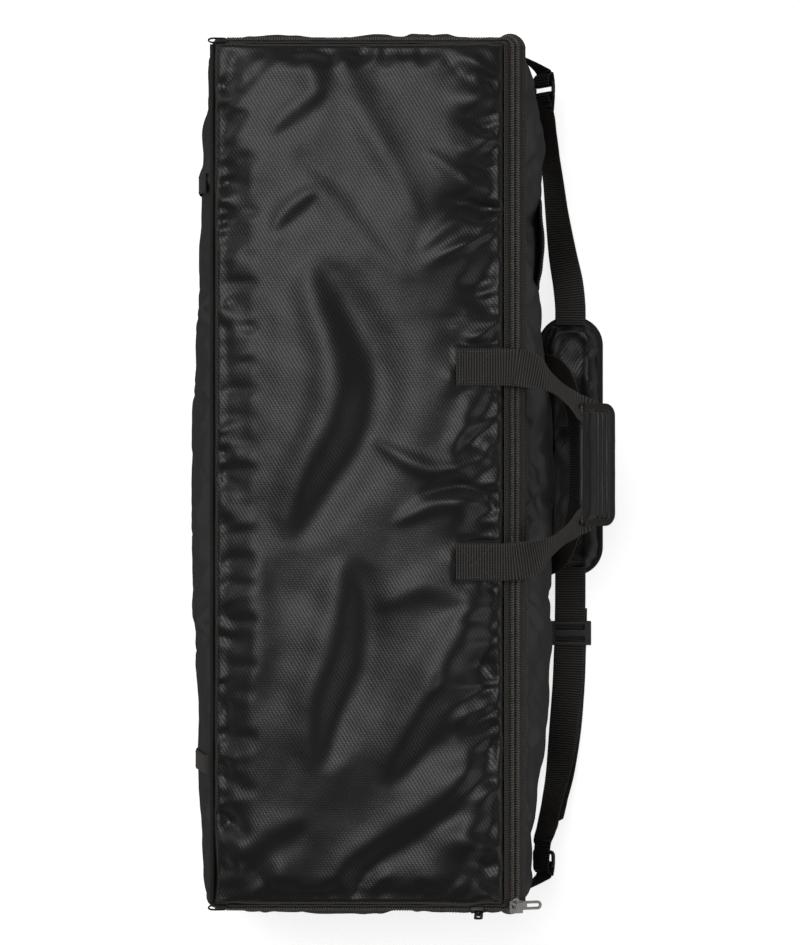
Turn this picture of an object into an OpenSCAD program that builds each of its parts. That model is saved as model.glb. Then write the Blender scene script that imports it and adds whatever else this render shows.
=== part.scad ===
// Padded soft case for a telescope tube: a box of quilted panels with a lid that
// zips on three sides, two carry handles, a grip wrap and a shoulder strap.
// The case lies on its back panel. +Z is up through the lid, +Y runs along the
// case and +X points to the side with the handles.

/* [Case] */
// Half the width between the long side seams
half_w = 157.5; // [140:0.5:175]
// Half the length between the end seams
half_l = 443.5; // [430:0.5:460]
// Height of the side walls up to the zip
wall_h = 261; // [261:1:270]
// Thickness of a padded panel at its seams
panel_t = 12; // [8:1:14]
// How far the side with the handles bulges
right_bulge = 28; // [10:1:30]
// How far the hinged side bulges
left_bulge = 26; // [10:1:28]
// How far the end walls bulge
end_bulge = 7; // [2:1:10]

/* [Lid] */
// Height of the lid's inner face
lid_z = 262.5; // [262:0.5:264]
// Half the length of the lid
lid_half_l = 436; // [430:1:437]
// Where the lid's free long edge lies
lid_edge_x = 134; // [130:1:135]
// Thickness of the lid at its seam
lid_rim_t = 9.5; // [8:0.5:11]
// How far the padding stands above the seam
lid_crown = 12; // [6:1:14]

/* [Zip] */
// Height of the zip where it meets the lid
zip_z = 270; // [268:1:272]
// Slope of the zip along the free long edge, in degrees
side_slope = 20; // [12:1:26]
// Slope of the zip across the ends, in degrees
end_slope = 72; // [66:1:76]
// Width of each half of the coil chain
coil_w = 5.45; // [4.5:0.05:5.5]
// Length of a zip puller
puller_l = 27; // [20:1:30]

/* [Webbing] */
// Width of the handle webbing
handle_w = 38; // [34:1:40]
// Width of the shoulder webbing
strap_w = 33; // [28:1:34]
// Thickness of the webbing
web_t = 2.4; // [1.8:0.1:2.6]

/* [Shoulder pad] */
// Length of the shoulder pad
pad_l = 278; // [240:2:280]
// Width of the shoulder pad
pad_w = 68; // [60:1:70]
// Thickness of the shoulder pad
pad_t = 13; // [10:1:14]

/* [Hidden] */
$fn = 48;

nylon = [0.16, 0.155, 0.15];
webbing = [0.1, 0.09, 0.085];
coil_black = [0.08, 0.08, 0.08];
metal = [0.6, 0.6, 0.62];
moulded = [0.07, 0.07, 0.07];
foam_grey = [0.3, 0.3, 0.31];

gap = 0.3;
lining_t = 1.5;
back_z = panel_t;
wall_z0 = back_z + gap;
inner_w = half_w - panel_t;
inner_l = half_l - panel_t;

// The lid turns about the middle of the binding along the hinged edge.
hinge_x = -160.5;
hinge_z = 266.5;
binding_r = 2.8;
lid_hinge_x = hinge_x + binding_r + gap;

// ---- shared shapes ------------------------------------------------------

function hump(t, power) = pow(max(0, sin(180 * t)), power);
function bell(x, centre, reach) = exp(-pow((x - centre) / reach, 2));
function unit(v) = v / norm(v);

// Each four-cornered face as two triangles, so that a twisted one stays exact.
function halves(faces) = [for (f = faces) each [[f[0], f[1], f[2]], [f[0], f[2], f[3]]]];

// A padded panel: two grids of points, the outer face and the inner face,
// joined round their edge. The outer face looks along du x dv.
module quilt(outer, inner, nu, nv) {
    row = nv + 1;
    far = (nu + 1) * row;
    front = [for (i = [0:nu - 1], j = [0:nv - 1])
        [i * row + j, i * row + j + 1, (i + 1) * row + j + 1, (i + 1) * row + j]];
    back = [for (f = front) [for (k = [3:-1:0]) f[k] + far]];
    low = [for (i = [0:nu - 1])
        [i * row, (i + 1) * row, far + (i + 1) * row, far + i * row]];
    high = [for (i = [0:nu - 1])
        [(i + 1) * row + nv, i * row + nv, far + i * row + nv, far + (i + 1) * row + nv]];
    first = [for (j = [0:nv - 1]) [j + 1, j, far + j, far + j + 1]];
    last = [for (j = [0:nv - 1])
        [nu * row + j, nu * row + j + 1, far + nu * row + j + 1, far + nu * row + j]];
    faces = halves(concat(front, back, low, high, first, last));
    polyhedron(concat(outer, inner), faces, 6);
}

// A rectangular section swept through a list of rings of four corners.
module swept(rings) {
    last = len(rings) - 1;
    points = [for (ring = rings, corner = ring) corner];
    sides = [for (k = [0:last - 1], e = [0:3])
        [4 * k + e, 4 * (k + 1) + e, 4 * (k + 1) + (e + 1) % 4, 4 * k + (e + 1) % 4]];
    ends = [[0, 1, 2, 3], [for (e = [3:-1:0]) 4 * last + e]];
    polyhedron(points, halves(concat(ends, sides)), 6);
}

// A smooth run through points chosen by hand. Each row holds a place and the
// direction of the webbing's width there.
function between(a, b, c, d, t) =
    0.5 * (2 * b + (c - a) * t + (2 * a - 5 * b + 4 * c - d) * t * t
        + (3 * b - a - 3 * c + d) * t * t * t);
function smooth(rows, steps) = let (last = len(rows) - 1) concat(
    [for (k = [0:last - 1], s = [0:steps - 1])
        between(rows[max(0, k - 1)], rows[k], rows[k + 1], rows[min(last, k + 2)], s / steps)],
    [rows[last]]);
function place(row) = [row[0], row[1], row[2]];
function across(row) = [row[3], row[4], row[5]];

// Flat webbing along such a run, moved off it by rise along its own face.
module web(rows, w, t, steps = 4, rise = 0) {
    run = smooth(rows, steps);
    last = len(run) - 1;
    swept([for (k = [0:last])
        let (
            ahead = unit(place(run[min(last, k + 1)]) - place(run[max(0, k - 1)])),
            wide = across(run[k]),
            u = unit(wide - (wide * ahead) * ahead) * w / 2,
            face = unit(cross(ahead, u)),
            n = face * t / 2,
            p = place(run[k]) + rise * face
        )
        [p - u - n, p + u - n, p + u + n, p - u + n]]);
}

// ---- padded panels ------------------------------------------------------

// Outward swell of each side wall along its length.
function right_swell(y) =
    right_bulge * hump(0.5 + y / (2 * half_l), 0.5)
    - 13 * bell(y, 205, 85) - 9 * bell(y, -350, 55);
function left_swell(y) = left_bulge * hump(0.5 + (y + 40) / (2 * half_l + 90), 0.9);

// The top edge of a side wall drops where the zip turns the corner.
function wall_top(y) = wall_h - 11 * pow(max(0, (abs(y) - 415) / (half_l - 415)), 2);
function right_seam(y) = half_w - 8 * pow(abs(y) / half_l, 14);

function right_face(u, v, off) =
    let (y = (2 * u - 1) * half_l)
    [right_seam(y) + right_swell(y) * hump(v, 0.8) + off, y, wall_z0 + v * (wall_top(y) - wall_z0)];
function left_face(u, v, off) =
    let (y = (2 * u - 1) * half_l)
    [half_w + left_swell(y) * hump(v, 0.8) + off, y, wall_z0 + v * (wall_top(y) - wall_z0)];

function grid(nu, nv) = [for (i = [0:nu], j = [0:nv]) [i / nu, j / nv]];

module back_panel() {
    color(nylon)
        translate([-half_w + 1.5, -half_l + 1.5, 0])
            cube([2 * half_w - 3, 2 * half_l - 3, back_z]);
}

module right_wall() {
    nu = 36;
    nv = 10;
    outer = [for (g = grid(nu, nv)) right_face(g[0], g[1], 0)];
    inner = [for (p = outer)
        [inner_w + max(0, p[0] - half_w - 2), p[1], p[2]]];
    color(nylon) quilt(outer, inner, nu, nv);
}

module left_wall() {
    nu = 30;
    nv = 10;
    outer = [for (g = grid(nu, nv)) left_face(g[0], g[1], 0)];
    inner = [for (p = outer)
        [inner_w + max(0, p[0] - half_w - 2), p[1], p[2]]];
    color(nylon) mirror([1, 0, 0]) quilt(outer, inner, nu, nv);
}

module end_wall() {
    nu = 10;
    nv = 14;
    w = inner_w - gap;
    top = zip_z - 24 * sin(end_slope) - gap;
    outer = [for (g = grid(nu, nv))
        [(2 * g[1] - 1) * w,
         half_l + end_bulge * hump(g[0], 0.6) * hump(g[1], 0.5),
         wall_z0 + g[0] * (top - wall_z0)]];
    inner = [for (p = outer) [p[0], inner_l + max(0, p[1] - half_l - 2), p[2]]];
    color(nylon) quilt(outer, inner, nu, nv);
}

module top_end_wall() { end_wall(); }
module bottom_end_wall() { mirror([0, 1, 0]) end_wall(); }

module lid_panel() {
    nu = 18;
    nv = 30;
    w = lid_edge_x - lid_hinge_x;
    outer = [for (g = grid(nu, nv))
        [lid_hinge_x + g[0] * w,
         (2 * g[1] - 1) * lid_half_l,
         lid_z + lid_rim_t + lid_crown * hump(g[0], 0.35) * hump(g[1], 0.3)]];
    inner = [for (p = outer) [p[0], p[1], lid_z]];
    color(nylon) quilt(outer, inner, nu, nv);
}

// ---- linings ------------------------------------------------------------

module case_lining() {
    w = inner_w - gap;
    l = inner_l - gap;
    z0 = back_z + gap;
    top = 256;
    color(foam_grey)
        difference() {
            translate([-w, -l, z0]) cube([2 * w, 2 * l, top - z0]);
            translate([-w + lining_t, -l + lining_t, z0 + lining_t])
                cube([2 * (w - lining_t), 2 * (l - lining_t), top]);
        }
}

module lid_lining() {
    x0 = -inner_w + 3;
    color(foam_grey)
        translate([x0, -inner_l + 3, lid_z - lining_t])
            cube([lid_edge_x - 3 - x0, 2 * (inner_l - 3), lining_t]);
}

// ---- zip ----------------------------------------------------------------

zip_w = 24;
zip_mid = zip_w / 2;
zip_x = lid_edge_x + 1;
zip_y = lid_half_l + 0.8;
zip_r = 3;
zip_start_x = -145;
tape_half = 0.5;
coil_low = 0.6;
coil_high = 3;

// Stations round the three zipped sides: a point on the inner edge, the
// outward direction as an angle, and the slope of the tape.
function zip_corner(sign) = [for (a = [90:-15:0])
    [zip_x - zip_r + zip_r * cos(a), sign * (zip_y - zip_r + zip_r * sin(a)),
     sign * a, side_slope + (end_slope - side_slope) * a / 90]];
zip_path = concat(
    [[zip_start_x, zip_y, 90, end_slope]],
    zip_corner(1),
    [for (k = [6:-1:0]) zip_corner(-1)[k]],
    [[zip_start_x, -zip_y, -90, end_slope]]);

// A point at width w across the zip and height h above the tape.
function zip_point(s, w, h) =
    [s[0] + (w * cos(s[3]) + h * sin(s[3])) * cos(s[2]),
     s[1] + (w * cos(s[3]) + h * sin(s[3])) * sin(s[2]),
     zip_z - w * sin(s[3]) + h * cos(s[3])];

module zip_band(w0, w1, h0, h1) {
    swept([for (s = zip_path)
        [zip_point(s, w1, h0), zip_point(s, w0, h0), zip_point(s, w0, h1), zip_point(s, w1, h1)]]);
}

module lid_zip_tape() {
    color(webbing) zip_band(gap, zip_mid - gap / 2, -tape_half, tape_half);
}
module case_zip_tape() {
    color(webbing) zip_band(zip_mid + gap / 2, zip_w, -tape_half, tape_half);
}
module lid_zip_coil() {
    color(coil_black)
        zip_band(zip_mid - gap / 2 - coil_w, zip_mid - gap / 2, coil_low, coil_high);
}
module case_zip_coil() {
    color(coil_black)
        zip_band(zip_mid + gap / 2, zip_mid + gap / 2 + coil_w, coil_low, coil_high);
}

// Puts a piece drawn on the chain onto the side run or onto the bottom run.
// The piece is drawn with +X along the chain, +Y outward and +Z off the tape.
module on_side_run(y) {
    translate([zip_x, y, zip_z]) rotate([0, side_slope, 0]) rotate([0, 0, -90])
        translate([0, zip_mid, 0]) children();
}
module on_bottom_run(x) {
    translate([x, -zip_y, zip_z]) rotate([end_slope, 0, 0]) rotate([0, 0, 180])
        translate([0, zip_mid, 0]) children();
}

slider_l = 16;
slider_hw = 7.4;
slider_top = coil_high + gap + 1.6;
post_r = 1.5;
eye_r = post_r + 0.09;
puller_z = slider_top + 0.4;
puller_t = 2;
puller_w = 9;
cap_z = puller_z + puller_t + 0.4;
slider_right_y = -437.5;
slider_left_x = 110;

// The slider straddles the chain from above: a plate with a lip down each
// side, and a post with a cap that holds the puller.
module slider_piece() {
    lip_t = 1.3;
    low = coil_high + gap;
    plate_t = slider_top - low;
    color(metal) {
        translate([-slider_l / 2 + 3, -slider_hw, low]) cube([slider_l - 3, 2 * slider_hw, plate_t]);
        translate([-slider_l / 2 + 3.5, 0, low]) cylinder(r = 3.5, h = plate_t);
        for (side = [-1, 1])
            translate([-slider_l / 2 + 4, side * (slider_hw - lip_t / 2) - lip_t / 2, tape_half + gap])
                cube([slider_l - 4, lip_t, slider_top - tape_half - gap]);
        translate([0, 0, low]) cylinder(r = post_r, h = cap_z + 0.5 - low);
        translate([0, 0, cap_z]) cylinder(r = 2.7, h = 1);
    }
}

module puller_piece() {
    slot_w = 3.4;
    color(metal)
        difference() {
            union() {
                translate([0, 0, puller_z]) cylinder(r = 4.2, h = puller_t);
                translate([-puller_w / 2 + 1, 0, puller_z])
                    cube([puller_w - 2, puller_l - 8, puller_t]);
                translate([-puller_w / 2, 7, puller_z])
                    cube([puller_w, puller_l - 7 - puller_w / 2, puller_t]);
                translate([0, puller_l - puller_w / 2, puller_z])
                    cylinder(r = puller_w / 2, h = puller_t);
            }
            translate([0, 0, puller_z - 1]) cylinder(r = eye_r, h = puller_t + 2);
            translate([-slot_w / 2, 11, puller_z - 1])
                cube([slot_w, puller_l - 11 - puller_w / 2, puller_t + 2]);
            translate([0, puller_l - puller_w / 2, puller_z - 1])
                cylinder(r = slot_w / 2, h = puller_t + 2);
        }
}

module slider_right() { on_side_run(slider_right_y) slider_piece(); }
module slider_left() { on_bottom_run(slider_left_x) slider_piece(); }
module puller_right() { on_side_run(slider_right_y) puller_piece(); }
module puller_left() { on_bottom_run(slider_left_x) puller_piece(); }

// ---- edges, tabs and patches --------------------------------------------

module hinge_binding() {
    color(webbing)
        translate([hinge_x, lid_half_l, hinge_z]) rotate([90, 0, 0])
            cylinder(r = binding_r, h = 2 * lid_half_l);
}

// A folded tab that covers the end of the zip.
module zip_tab() {
    color(webbing)
        translate([hinge_x, lid_half_l + 1.2, hinge_z - 4])
            union() {
                translate([-5, 0, 0]) cube([19, 5.5, 7]);
                translate([-5, 2.75, 0]) cylinder(r = 2.75, h = 7);
            }
}
module zip_tab_top() { zip_tab(); }
module zip_tab_bottom() { mirror([0, 1, 0]) zip_tab(); }

// Webbing sewn flat to the hinged wall, at y0 along the case.
module wall_patch(y0) {
    nu = 2;
    nv = 6;
    l = 20;
    spots = [for (g = grid(nu, nv)) [0.5 + (y0 + g[0] * l) / (2 * half_l), 0.45 + g[1] * 0.47]];
    outer = [for (s = spots) left_face(s[0], s[1], 2.6)];
    inner = [for (s = spots) left_face(s[0], s[1], 0.5)];
    color(webbing) mirror([1, 0, 0]) quilt(outer, inner, nu, nv);
}
module wall_patch_top() { wall_patch(287); }
module wall_patch_bottom() { wall_patch(-307); }

// Webbing sewn across the bottom end, under the zip.
module end_webbing() {
    color(webbing)
        web([[62, -450.9, 176, 0, 0, 1], [98, -452.2, 176, 0, 0, 1], [134, -449.2, 176, 0, 0, 1]],
            handle_w, web_t, 3);
}

// A pocket for an address card, open towards the lid.
pocket_x = 174;
module card_pocket() {
    l = 92;
    h = 62;
    hollow = 6.5;
    skin = 1.4;
    color(nylon)
        translate([pocket_x, 237, 152])
            difference() {
                translate([0, -l / 2, 0]) cube([hollow + 2 * skin, l, h]);
                translate([skin, -l / 2 + 3, 3]) cube([hollow, l - 6, h]);
            }
}

// Sewn ends of the front handle, flat on the lid.
front_y = 9.5;
leg_y = 98.5;
patch_l = 42;
module front_patch(y) {
    color(webbing)
        translate([107, y, 282]) rotate([0, 5, 0])
            cube([patch_l, handle_w, web_t], center = true);
}
module front_patch_upper() { front_patch(front_y + leg_y); }
module front_patch_lower() { front_patch(front_y - leg_y); }

// Sewn ends of the rear handle, flat on the wall near the back panel.
module rear_patch(y) {
    color(webbing)
        translate([176.7, y, 56]) rotate([0, 13, 0])
            cube([web_t, handle_w, patch_l], center = true);
}
module rear_patch_upper() { rear_patch(front_y + leg_y); }
module rear_patch_lower() { rear_patch(front_y - leg_y); }

// ---- handles ------------------------------------------------------------

// The front handle leaves the lid over the zip, turns and droops to the grip.
grip_x = 231;
grip_z = 232;
grip_tilt = 37;
function leg(sign) = [
    [128.6, front_y + sign * leg_y, 280, 0, 1, 0],
    [150, front_y + sign * (leg_y - 1), 280.5, 0, 1, 0],
    [172, front_y + sign * (leg_y - 5), 276, 0.05, 1, -0.1],
    [191, front_y + sign * (leg_y - 14), 264, 0.35 * sign, 0.75, -0.5 * sign],
    [207, front_y + sign * (leg_y - 24), 249.8, 0.62 * sign, 0.4, -0.49 * sign],
    [220, front_y + sign * (leg_y - 34), 240.1, 0.75 * sign, 0.2, -0.565 * sign]];
module front_handle_web() {
    upper = leg(1);
    lower = leg(-1);
    grip = [for (y = [48, 16, -16, -48]) [grip_x, front_y + y, grip_z, 0.8, 0, -0.602]];
    turned = [for (k = [5:-1:0]) concat(place(lower[k]), -across(lower[k]))];
    color(webbing) web(concat(upper, grip, turned), handle_w, web_t, 3);
}

// The grip is a pad folded round the webbing, with one leaf that opens.
wrap_l = 124;
wrap_w = 40.5;
leaf_t = 5;
module leaf(z0) {
    r = 12;
    translate([-19.7, 0, z0])
        union() {
            translate([0, -wrap_l / 2, 0]) cube([wrap_w - r, wrap_l, leaf_t]);
            translate([0, -wrap_l / 2 + r, 0]) cube([wrap_w, wrap_l - 2 * r, leaf_t]);
            for (side = [-1, 1])
                translate([wrap_w - r, side * (wrap_l / 2 - r), 0]) cylinder(r = r, h = leaf_t);
        }
}
module at_grip() { translate([grip_x, front_y, grip_z]) rotate([0, grip_tilt, 0]) children(); }
module grip_wrap() { color(nylon) at_grip() leaf(-leaf_t - 1.9); }
module grip_flap() { color(nylon) at_grip() leaf(1.9); }

// The rear handle stands up along the wall from its sewn ends.
function rear_leg(sign) = [
    [182.6, front_y + sign * leg_y, 79, 0, 1, 0],
    [191, front_y + sign * (leg_y - 2), 99, 0.05, 1, 0.1],
    [200, front_y + sign * (leg_y - 9), 120, 0.2 * sign, 0.8, 0.5 * sign],
    [207, front_y + sign * (leg_y - 22), 138, 0.3 * sign, 0.5, 0.8 * sign],
    [212, front_y + sign * (leg_y - 42), 150, 0.35 * sign, 0.15, 0.93 * sign]];
module rear_handle_web() {
    upper = rear_leg(1);
    lower = rear_leg(-1);
    grip = [for (y = [28, 0, -28]) [215.5 - abs(y) / 40, front_y + y, 154, 0.38, 0, 0.92]];
    turned = [for (k = [4:-1:0]) concat(place(lower[k]), -across(lower[k]))];
    color(webbing) web(concat(upper, grip, turned), handle_w, web_t, 3);
}

// ---- shoulder strap -----------------------------------------------------

pad_x = 214.5;
pad_y = 30;
pad_low = 0.3;
pad_top_y = pad_y + pad_l / 2;
pad_bottom_y = pad_y - pad_l / 2;
pad_mid_z = pad_low + pad_t / 2;

// A ring lies at each end of the strap. The strap swings about the line
// through both rings, where the tabs from the end seams twist.
ring_x = 183;
ring_y = 408;
ring_z = 76;
ring_wire = 2.1;
ring_half = strap_w / 2 + ring_wire + 1;
ring_gap = 7;
ring_lean = -62;

module at_ring(sign) {
    translate([ring_x, sign * ring_y, ring_z]) rotate([0, ring_lean, 0]) children();
}
module ring(sign) {
    color(metal)
        at_ring(sign) {
            for (side = [-1, 1]) {
                translate([-ring_half, side * ring_gap, 0]) rotate([0, 90, 0])
                    cylinder(r = ring_wire, h = 2 * ring_half);
                translate([side * ring_half, ring_gap, 0]) rotate([90, 0, 0])
                    cylinder(r = ring_wire, h = 2 * ring_gap);
                for (end = [-1, 1])
                    translate([side * ring_half, end * ring_gap, 0]) sphere(r = ring_wire);
            }
        }
}
module strap_ring_top() { ring(1); }
module strap_ring_bottom() { ring(-1); }

// Webbing folded round one bar of a ring.
module fold_round(sign, bar) {
    w = strap_w - 1;
    at_ring(sign)
        translate([-w / 2, bar * ring_gap, 0]) rotate([0, 90, 0])
            difference() {
                cylinder(r = ring_wire + gap + web_t, h = w);
                translate([0, 0, -1]) cylinder(r = ring_wire + gap, h = w + 2);
            }
}

lean_x = cos(ring_lean);
lean_z = -sin(ring_lean);
fold_reach = ring_gap + ring_wire + gap + web_t / 2;
tab_split = 424;

// The flat of the fold, from the bar to where the free webbing takes over.
module fold_flat(sign, reach, length) {
    web([[ring_x, sign * (ring_y - reach), ring_z, lean_x, 0, lean_z],
         [ring_x, sign * (ring_y - reach - length), ring_z, lean_x, 0, lean_z]],
        strap_w - 1.6, web_t + 0.5, 1);
}

// The tab from the end seam to the ring, in two lengths: the one on the ring
// turns with the strap, and the one on the seam stays.
module strap_tab(sign) {
    color(webbing) {
        fold_round(sign, sign);
        web([[ring_x, sign * (ring_y + fold_reach), ring_z, lean_x, 0, lean_z],
             [ring_x, sign * tab_split, ring_z, lean_x, 0, lean_z]], strap_w, web_t, 1);
    }
}
module strap_tab_top() { strap_tab(1); }
module strap_tab_bottom() { strap_tab(-1); }

module strap_anchor(sign) {
    color(webbing)
        web([[181.5, sign * (tab_split + 2.5), 76.5, 0.45, 0, 0.89],
             [176, sign * 432, 78, 0.3, 0, 0.95],
             [165, sign * 438.5, 81, 0.1, 0, 1],
             [154.5, sign * 443, 84, 0, 0, 1]], strap_w, web_t, 3);
}
module strap_anchor_top() { strap_anchor(1); }
module strap_anchor_bottom() { strap_anchor(-1); }

module strap_web_upper() {
    color(webbing) {
        fold_round(1, -1);
        fold_flat(1, fold_reach, 9);
        web([[ring_x, ring_y - fold_reach - 6, ring_z, lean_x, 0, lean_z],
             [186, 370, 58, 0.5, 0, 0.87],
             [190, 345, 37, 0.55, 0, 0.83],
             [195, 315, 22, 0.62, 0, 0.78],
             [200, 275, 14, 0.75, 0, 0.66],
             [206, 235, 8.5, 0.92, 0, 0.4],
             [211.5, 205, 6.4, 1, 0, 0.12],
             [214, pad_top_y + 12, pad_mid_z, 1, 0, 0],
             [214, pad_top_y + gap, pad_mid_z, 1, 0, 0]], strap_w, web_t, 3);
    }
}

lower_run = [
    [214, pad_bottom_y - gap, pad_mid_z, 1, 0, 0],
    [214, -145, 5.5, 1, 0, 0],
    [213, -185, 4.5, 1, 0, 0.02],
    [211, -230, 5.5, 1, 0, 0.1],
    [207, -275, 8.5, 0.94, 0, 0.3],
    [201, -320, 16, 0.78, 0, 0.6],
    [194, -350, 33, 0.6, 0, 0.8],
    [188, -372, 54, 0.5, 0, 0.87]];
module strap_web_lower() {
    color(webbing) {
        fold_round(-1, 1);
        fold_flat(-1, fold_reach, 9);
        web(concat(lower_run,
            [[ring_x, -ring_y + fold_reach + 6, ring_z, lean_x, 0, lean_z]]), strap_w, web_t, 3);
    }
}

// The free end comes back from the ring beneath the strap to the adjuster.
module strap_web_return() {
    aside = [5, 0, 0, 0, 0, 0];
    color(webbing)
        web([for (k = [1:6]) lower_run[k] + aside], strap_w - 6, 2, 3, -2.6);
}

adjuster_y = -172;
module strap_adjuster() {
    w = strap_w + 13;
    l = 26;
    color(moulded)
        translate([213.5, adjuster_y, 0.3])
            difference() {
                translate([-w / 2, -l / 2, 0]) cube([w, l, 8.2]);
                translate([-w / 2 + 3.2, -l, 0.4]) cube([w - 6.4, 2 * l, 6.2]);
                translate([-strap_w / 2 + 1, 4, 5]) cube([strap_w - 2, 5, 6]);
                translate([-strap_w / 2 + 1, -9, 5]) cube([strap_w - 2, 5, 6]);
            }
}

module strap_pad() {
    r = 30;
    straight = pad_l / 2 - r;
    color(nylon)
        translate([pad_x, pad_y, pad_low])
            union() {
                translate([-pad_w / 2, -straight, 0]) cube([pad_w, 2 * straight, pad_t]);
                for (end = [-1, 1]) {
                    translate([-pad_w / 2 + r, end * straight - r * (1 - end) / 2, 0])
                        cube([pad_w - 2 * r, r, pad_t]);
                    for (side = [-1, 1])
                        translate([side * (pad_w / 2 - r), end * straight, 0])
                            cylinder(r = r, h = pad_t);
                }
            }
}

back_panel();
left_wall();
right_wall();
top_end_wall();
bottom_end_wall();
case_lining();
case_zip_tape();
case_zip_coil();
hinge_binding();
zip_tab_top();
zip_tab_bottom();
wall_patch_top();
wall_patch_bottom();
end_webbing();
card_pocket();
rear_patch_upper();
rear_patch_lower();
lid_panel();
lid_lining();
lid_zip_tape();
lid_zip_coil();
front_patch_upper();
front_patch_lower();
front_handle_web();
grip_wrap();
grip_flap();
rear_handle_web();
slider_right();
slider_left();
puller_right();
puller_left();
strap_tab_top();
strap_tab_bottom();
strap_anchor_top();
strap_anchor_bottom();
strap_ring_top();
strap_ring_bottom();
strap_web_upper();
strap_web_lower();
strap_web_return();
strap_adjuster();
strap_pad();
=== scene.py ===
"""Looks of a padded telescope carry case: quilted nylon panels, a three-sided
coil zip, webbing handles with a folded grip and a padded shoulder strap."""

import logging
import math
from dataclasses import dataclass, field
from enum import Enum
from typing import Callable, Sequence

import bmesh
import bpy
import numpy as np
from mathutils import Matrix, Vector


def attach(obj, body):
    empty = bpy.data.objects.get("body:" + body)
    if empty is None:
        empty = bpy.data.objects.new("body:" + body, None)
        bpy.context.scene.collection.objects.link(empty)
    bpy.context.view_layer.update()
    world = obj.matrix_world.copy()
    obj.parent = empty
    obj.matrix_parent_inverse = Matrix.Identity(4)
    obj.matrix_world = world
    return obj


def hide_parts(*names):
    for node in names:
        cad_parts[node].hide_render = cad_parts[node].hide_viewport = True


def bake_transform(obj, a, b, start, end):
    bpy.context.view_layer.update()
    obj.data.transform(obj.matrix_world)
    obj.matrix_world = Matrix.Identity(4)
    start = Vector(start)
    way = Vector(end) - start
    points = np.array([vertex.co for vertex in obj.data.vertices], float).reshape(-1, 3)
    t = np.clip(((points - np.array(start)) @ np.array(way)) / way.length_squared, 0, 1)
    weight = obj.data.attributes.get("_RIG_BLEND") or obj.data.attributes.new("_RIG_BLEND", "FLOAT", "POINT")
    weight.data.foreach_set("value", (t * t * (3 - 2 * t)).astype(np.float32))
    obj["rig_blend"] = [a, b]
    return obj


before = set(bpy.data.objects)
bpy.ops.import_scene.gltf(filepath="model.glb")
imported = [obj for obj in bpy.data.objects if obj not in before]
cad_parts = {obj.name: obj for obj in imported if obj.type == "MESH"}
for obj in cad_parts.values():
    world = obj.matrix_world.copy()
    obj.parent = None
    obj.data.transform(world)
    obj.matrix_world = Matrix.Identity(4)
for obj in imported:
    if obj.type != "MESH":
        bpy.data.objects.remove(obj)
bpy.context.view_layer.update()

LOG = logging.getLogger("carry_case")
MM = 0.001
Array = np.ndarray
Object = bpy.types.Object
Material = bpy.types.Material


# ---- numbers ---------------------------------------------------------------


def hump(t: Array, power: float) -> Array:
    """A rise from 0 at t 0 to 1 in the middle and back to 0 at t 1."""
    return np.maximum(0.0, np.sin(np.pi * t)) ** power


def bell(x: Array, centre: float, reach: float) -> Array:
    """A smooth bump of height 1 round a centre."""
    return np.exp(-(((x - centre) / reach) ** 2))


def ease(t: Array) -> Array:
    """A smooth step from 0 to 1 as t goes from 0 to 1."""
    t = np.clip(t, 0.0, 1.0)
    return t * t * (3 - 2 * t)


def unit(v: Array) -> Array:
    """The same directions at length 1."""
    v = np.asarray(v, float)
    return v / np.maximum(np.linalg.norm(v, axis=-1, keepdims=True), 1e-12)


def turn_y(points: Array, degrees: float) -> Array:
    """Turns points about the Y axis.

    Args:
        points: Rows of x, y and z.
        degrees: The angle, where a positive one lowers the +X side.

    Returns:
        The turned rows.
    """
    a = math.radians(degrees)
    c, s = math.cos(a), math.sin(a)
    p = np.asarray(points, float)
    return np.stack([p[..., 0] * c + p[..., 2] * s, p[..., 1], -p[..., 0] * s + p[..., 2] * c], -1)


def smooth_run(rows: Array, steps: int = 24) -> Array:
    """A smooth run through listed rows of numbers.

    Args:
        rows: The rows that the run passes through.
        steps: How many stations each row gets.

    Returns:
        The dense rows.
    """
    rows = np.asarray(rows, float)
    last = len(rows) - 1
    t = (np.arange(steps) / steps)[:, None]
    out = []
    for k in range(last):
        a, b, c, d = rows[max(0, k - 1)], rows[k], rows[k + 1], rows[min(last, k + 2)]
        out.append(
            0.5 * (2 * b + (c - a) * t + (2 * a - 5 * b + 4 * c - d) * t**2 + (3 * b - a - 3 * c + d) * t**3)
        )
    return np.vstack([*out, rows[-1:]])


def even_run(rows: Array, pitch: float) -> Array:
    """Respaces rows evenly along their own length.

    Args:
        rows: Dense rows whose first three numbers are a place.
        pitch: The distance between stations.

    Returns:
        The respaced rows.
    """
    length = np.concatenate([[0], np.cumsum(np.linalg.norm(np.diff(rows[:, :3], axis=0), axis=1))])
    count = max(2, int(round(length[-1] / pitch)) + 1)
    s = np.linspace(0, length[-1], count)
    return np.stack([np.interp(s, length, rows[:, k]) for k in range(rows.shape[1])], 1)


def wander(u: Array, v: Array, size: float, seed: int, waves: int = 14) -> Array:
    """Soft random hills over a plane, from plane waves of mixed directions.

    Args:
        u: First coordinate in mm.
        v: Second coordinate in mm.
        size: The typical width of a hill in mm.
        seed: Fixes the pattern.
        waves: How many waves are mixed.

    Returns:
        Heights of about -1 to 1.
    """
    rng = np.random.default_rng(seed)
    total = np.zeros(np.broadcast(u, v).shape)
    for _ in range(waves):
        angle, phase = rng.uniform(0, 2 * math.pi, 2)
        k = math.pi / (size * rng.uniform(0.6, 1.6))
        total += np.cos(k * (u * math.cos(angle) + v * math.sin(angle)) + phase)
    return total / math.sqrt(waves)


# ---- pieces ----------------------------------------------------------------


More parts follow.
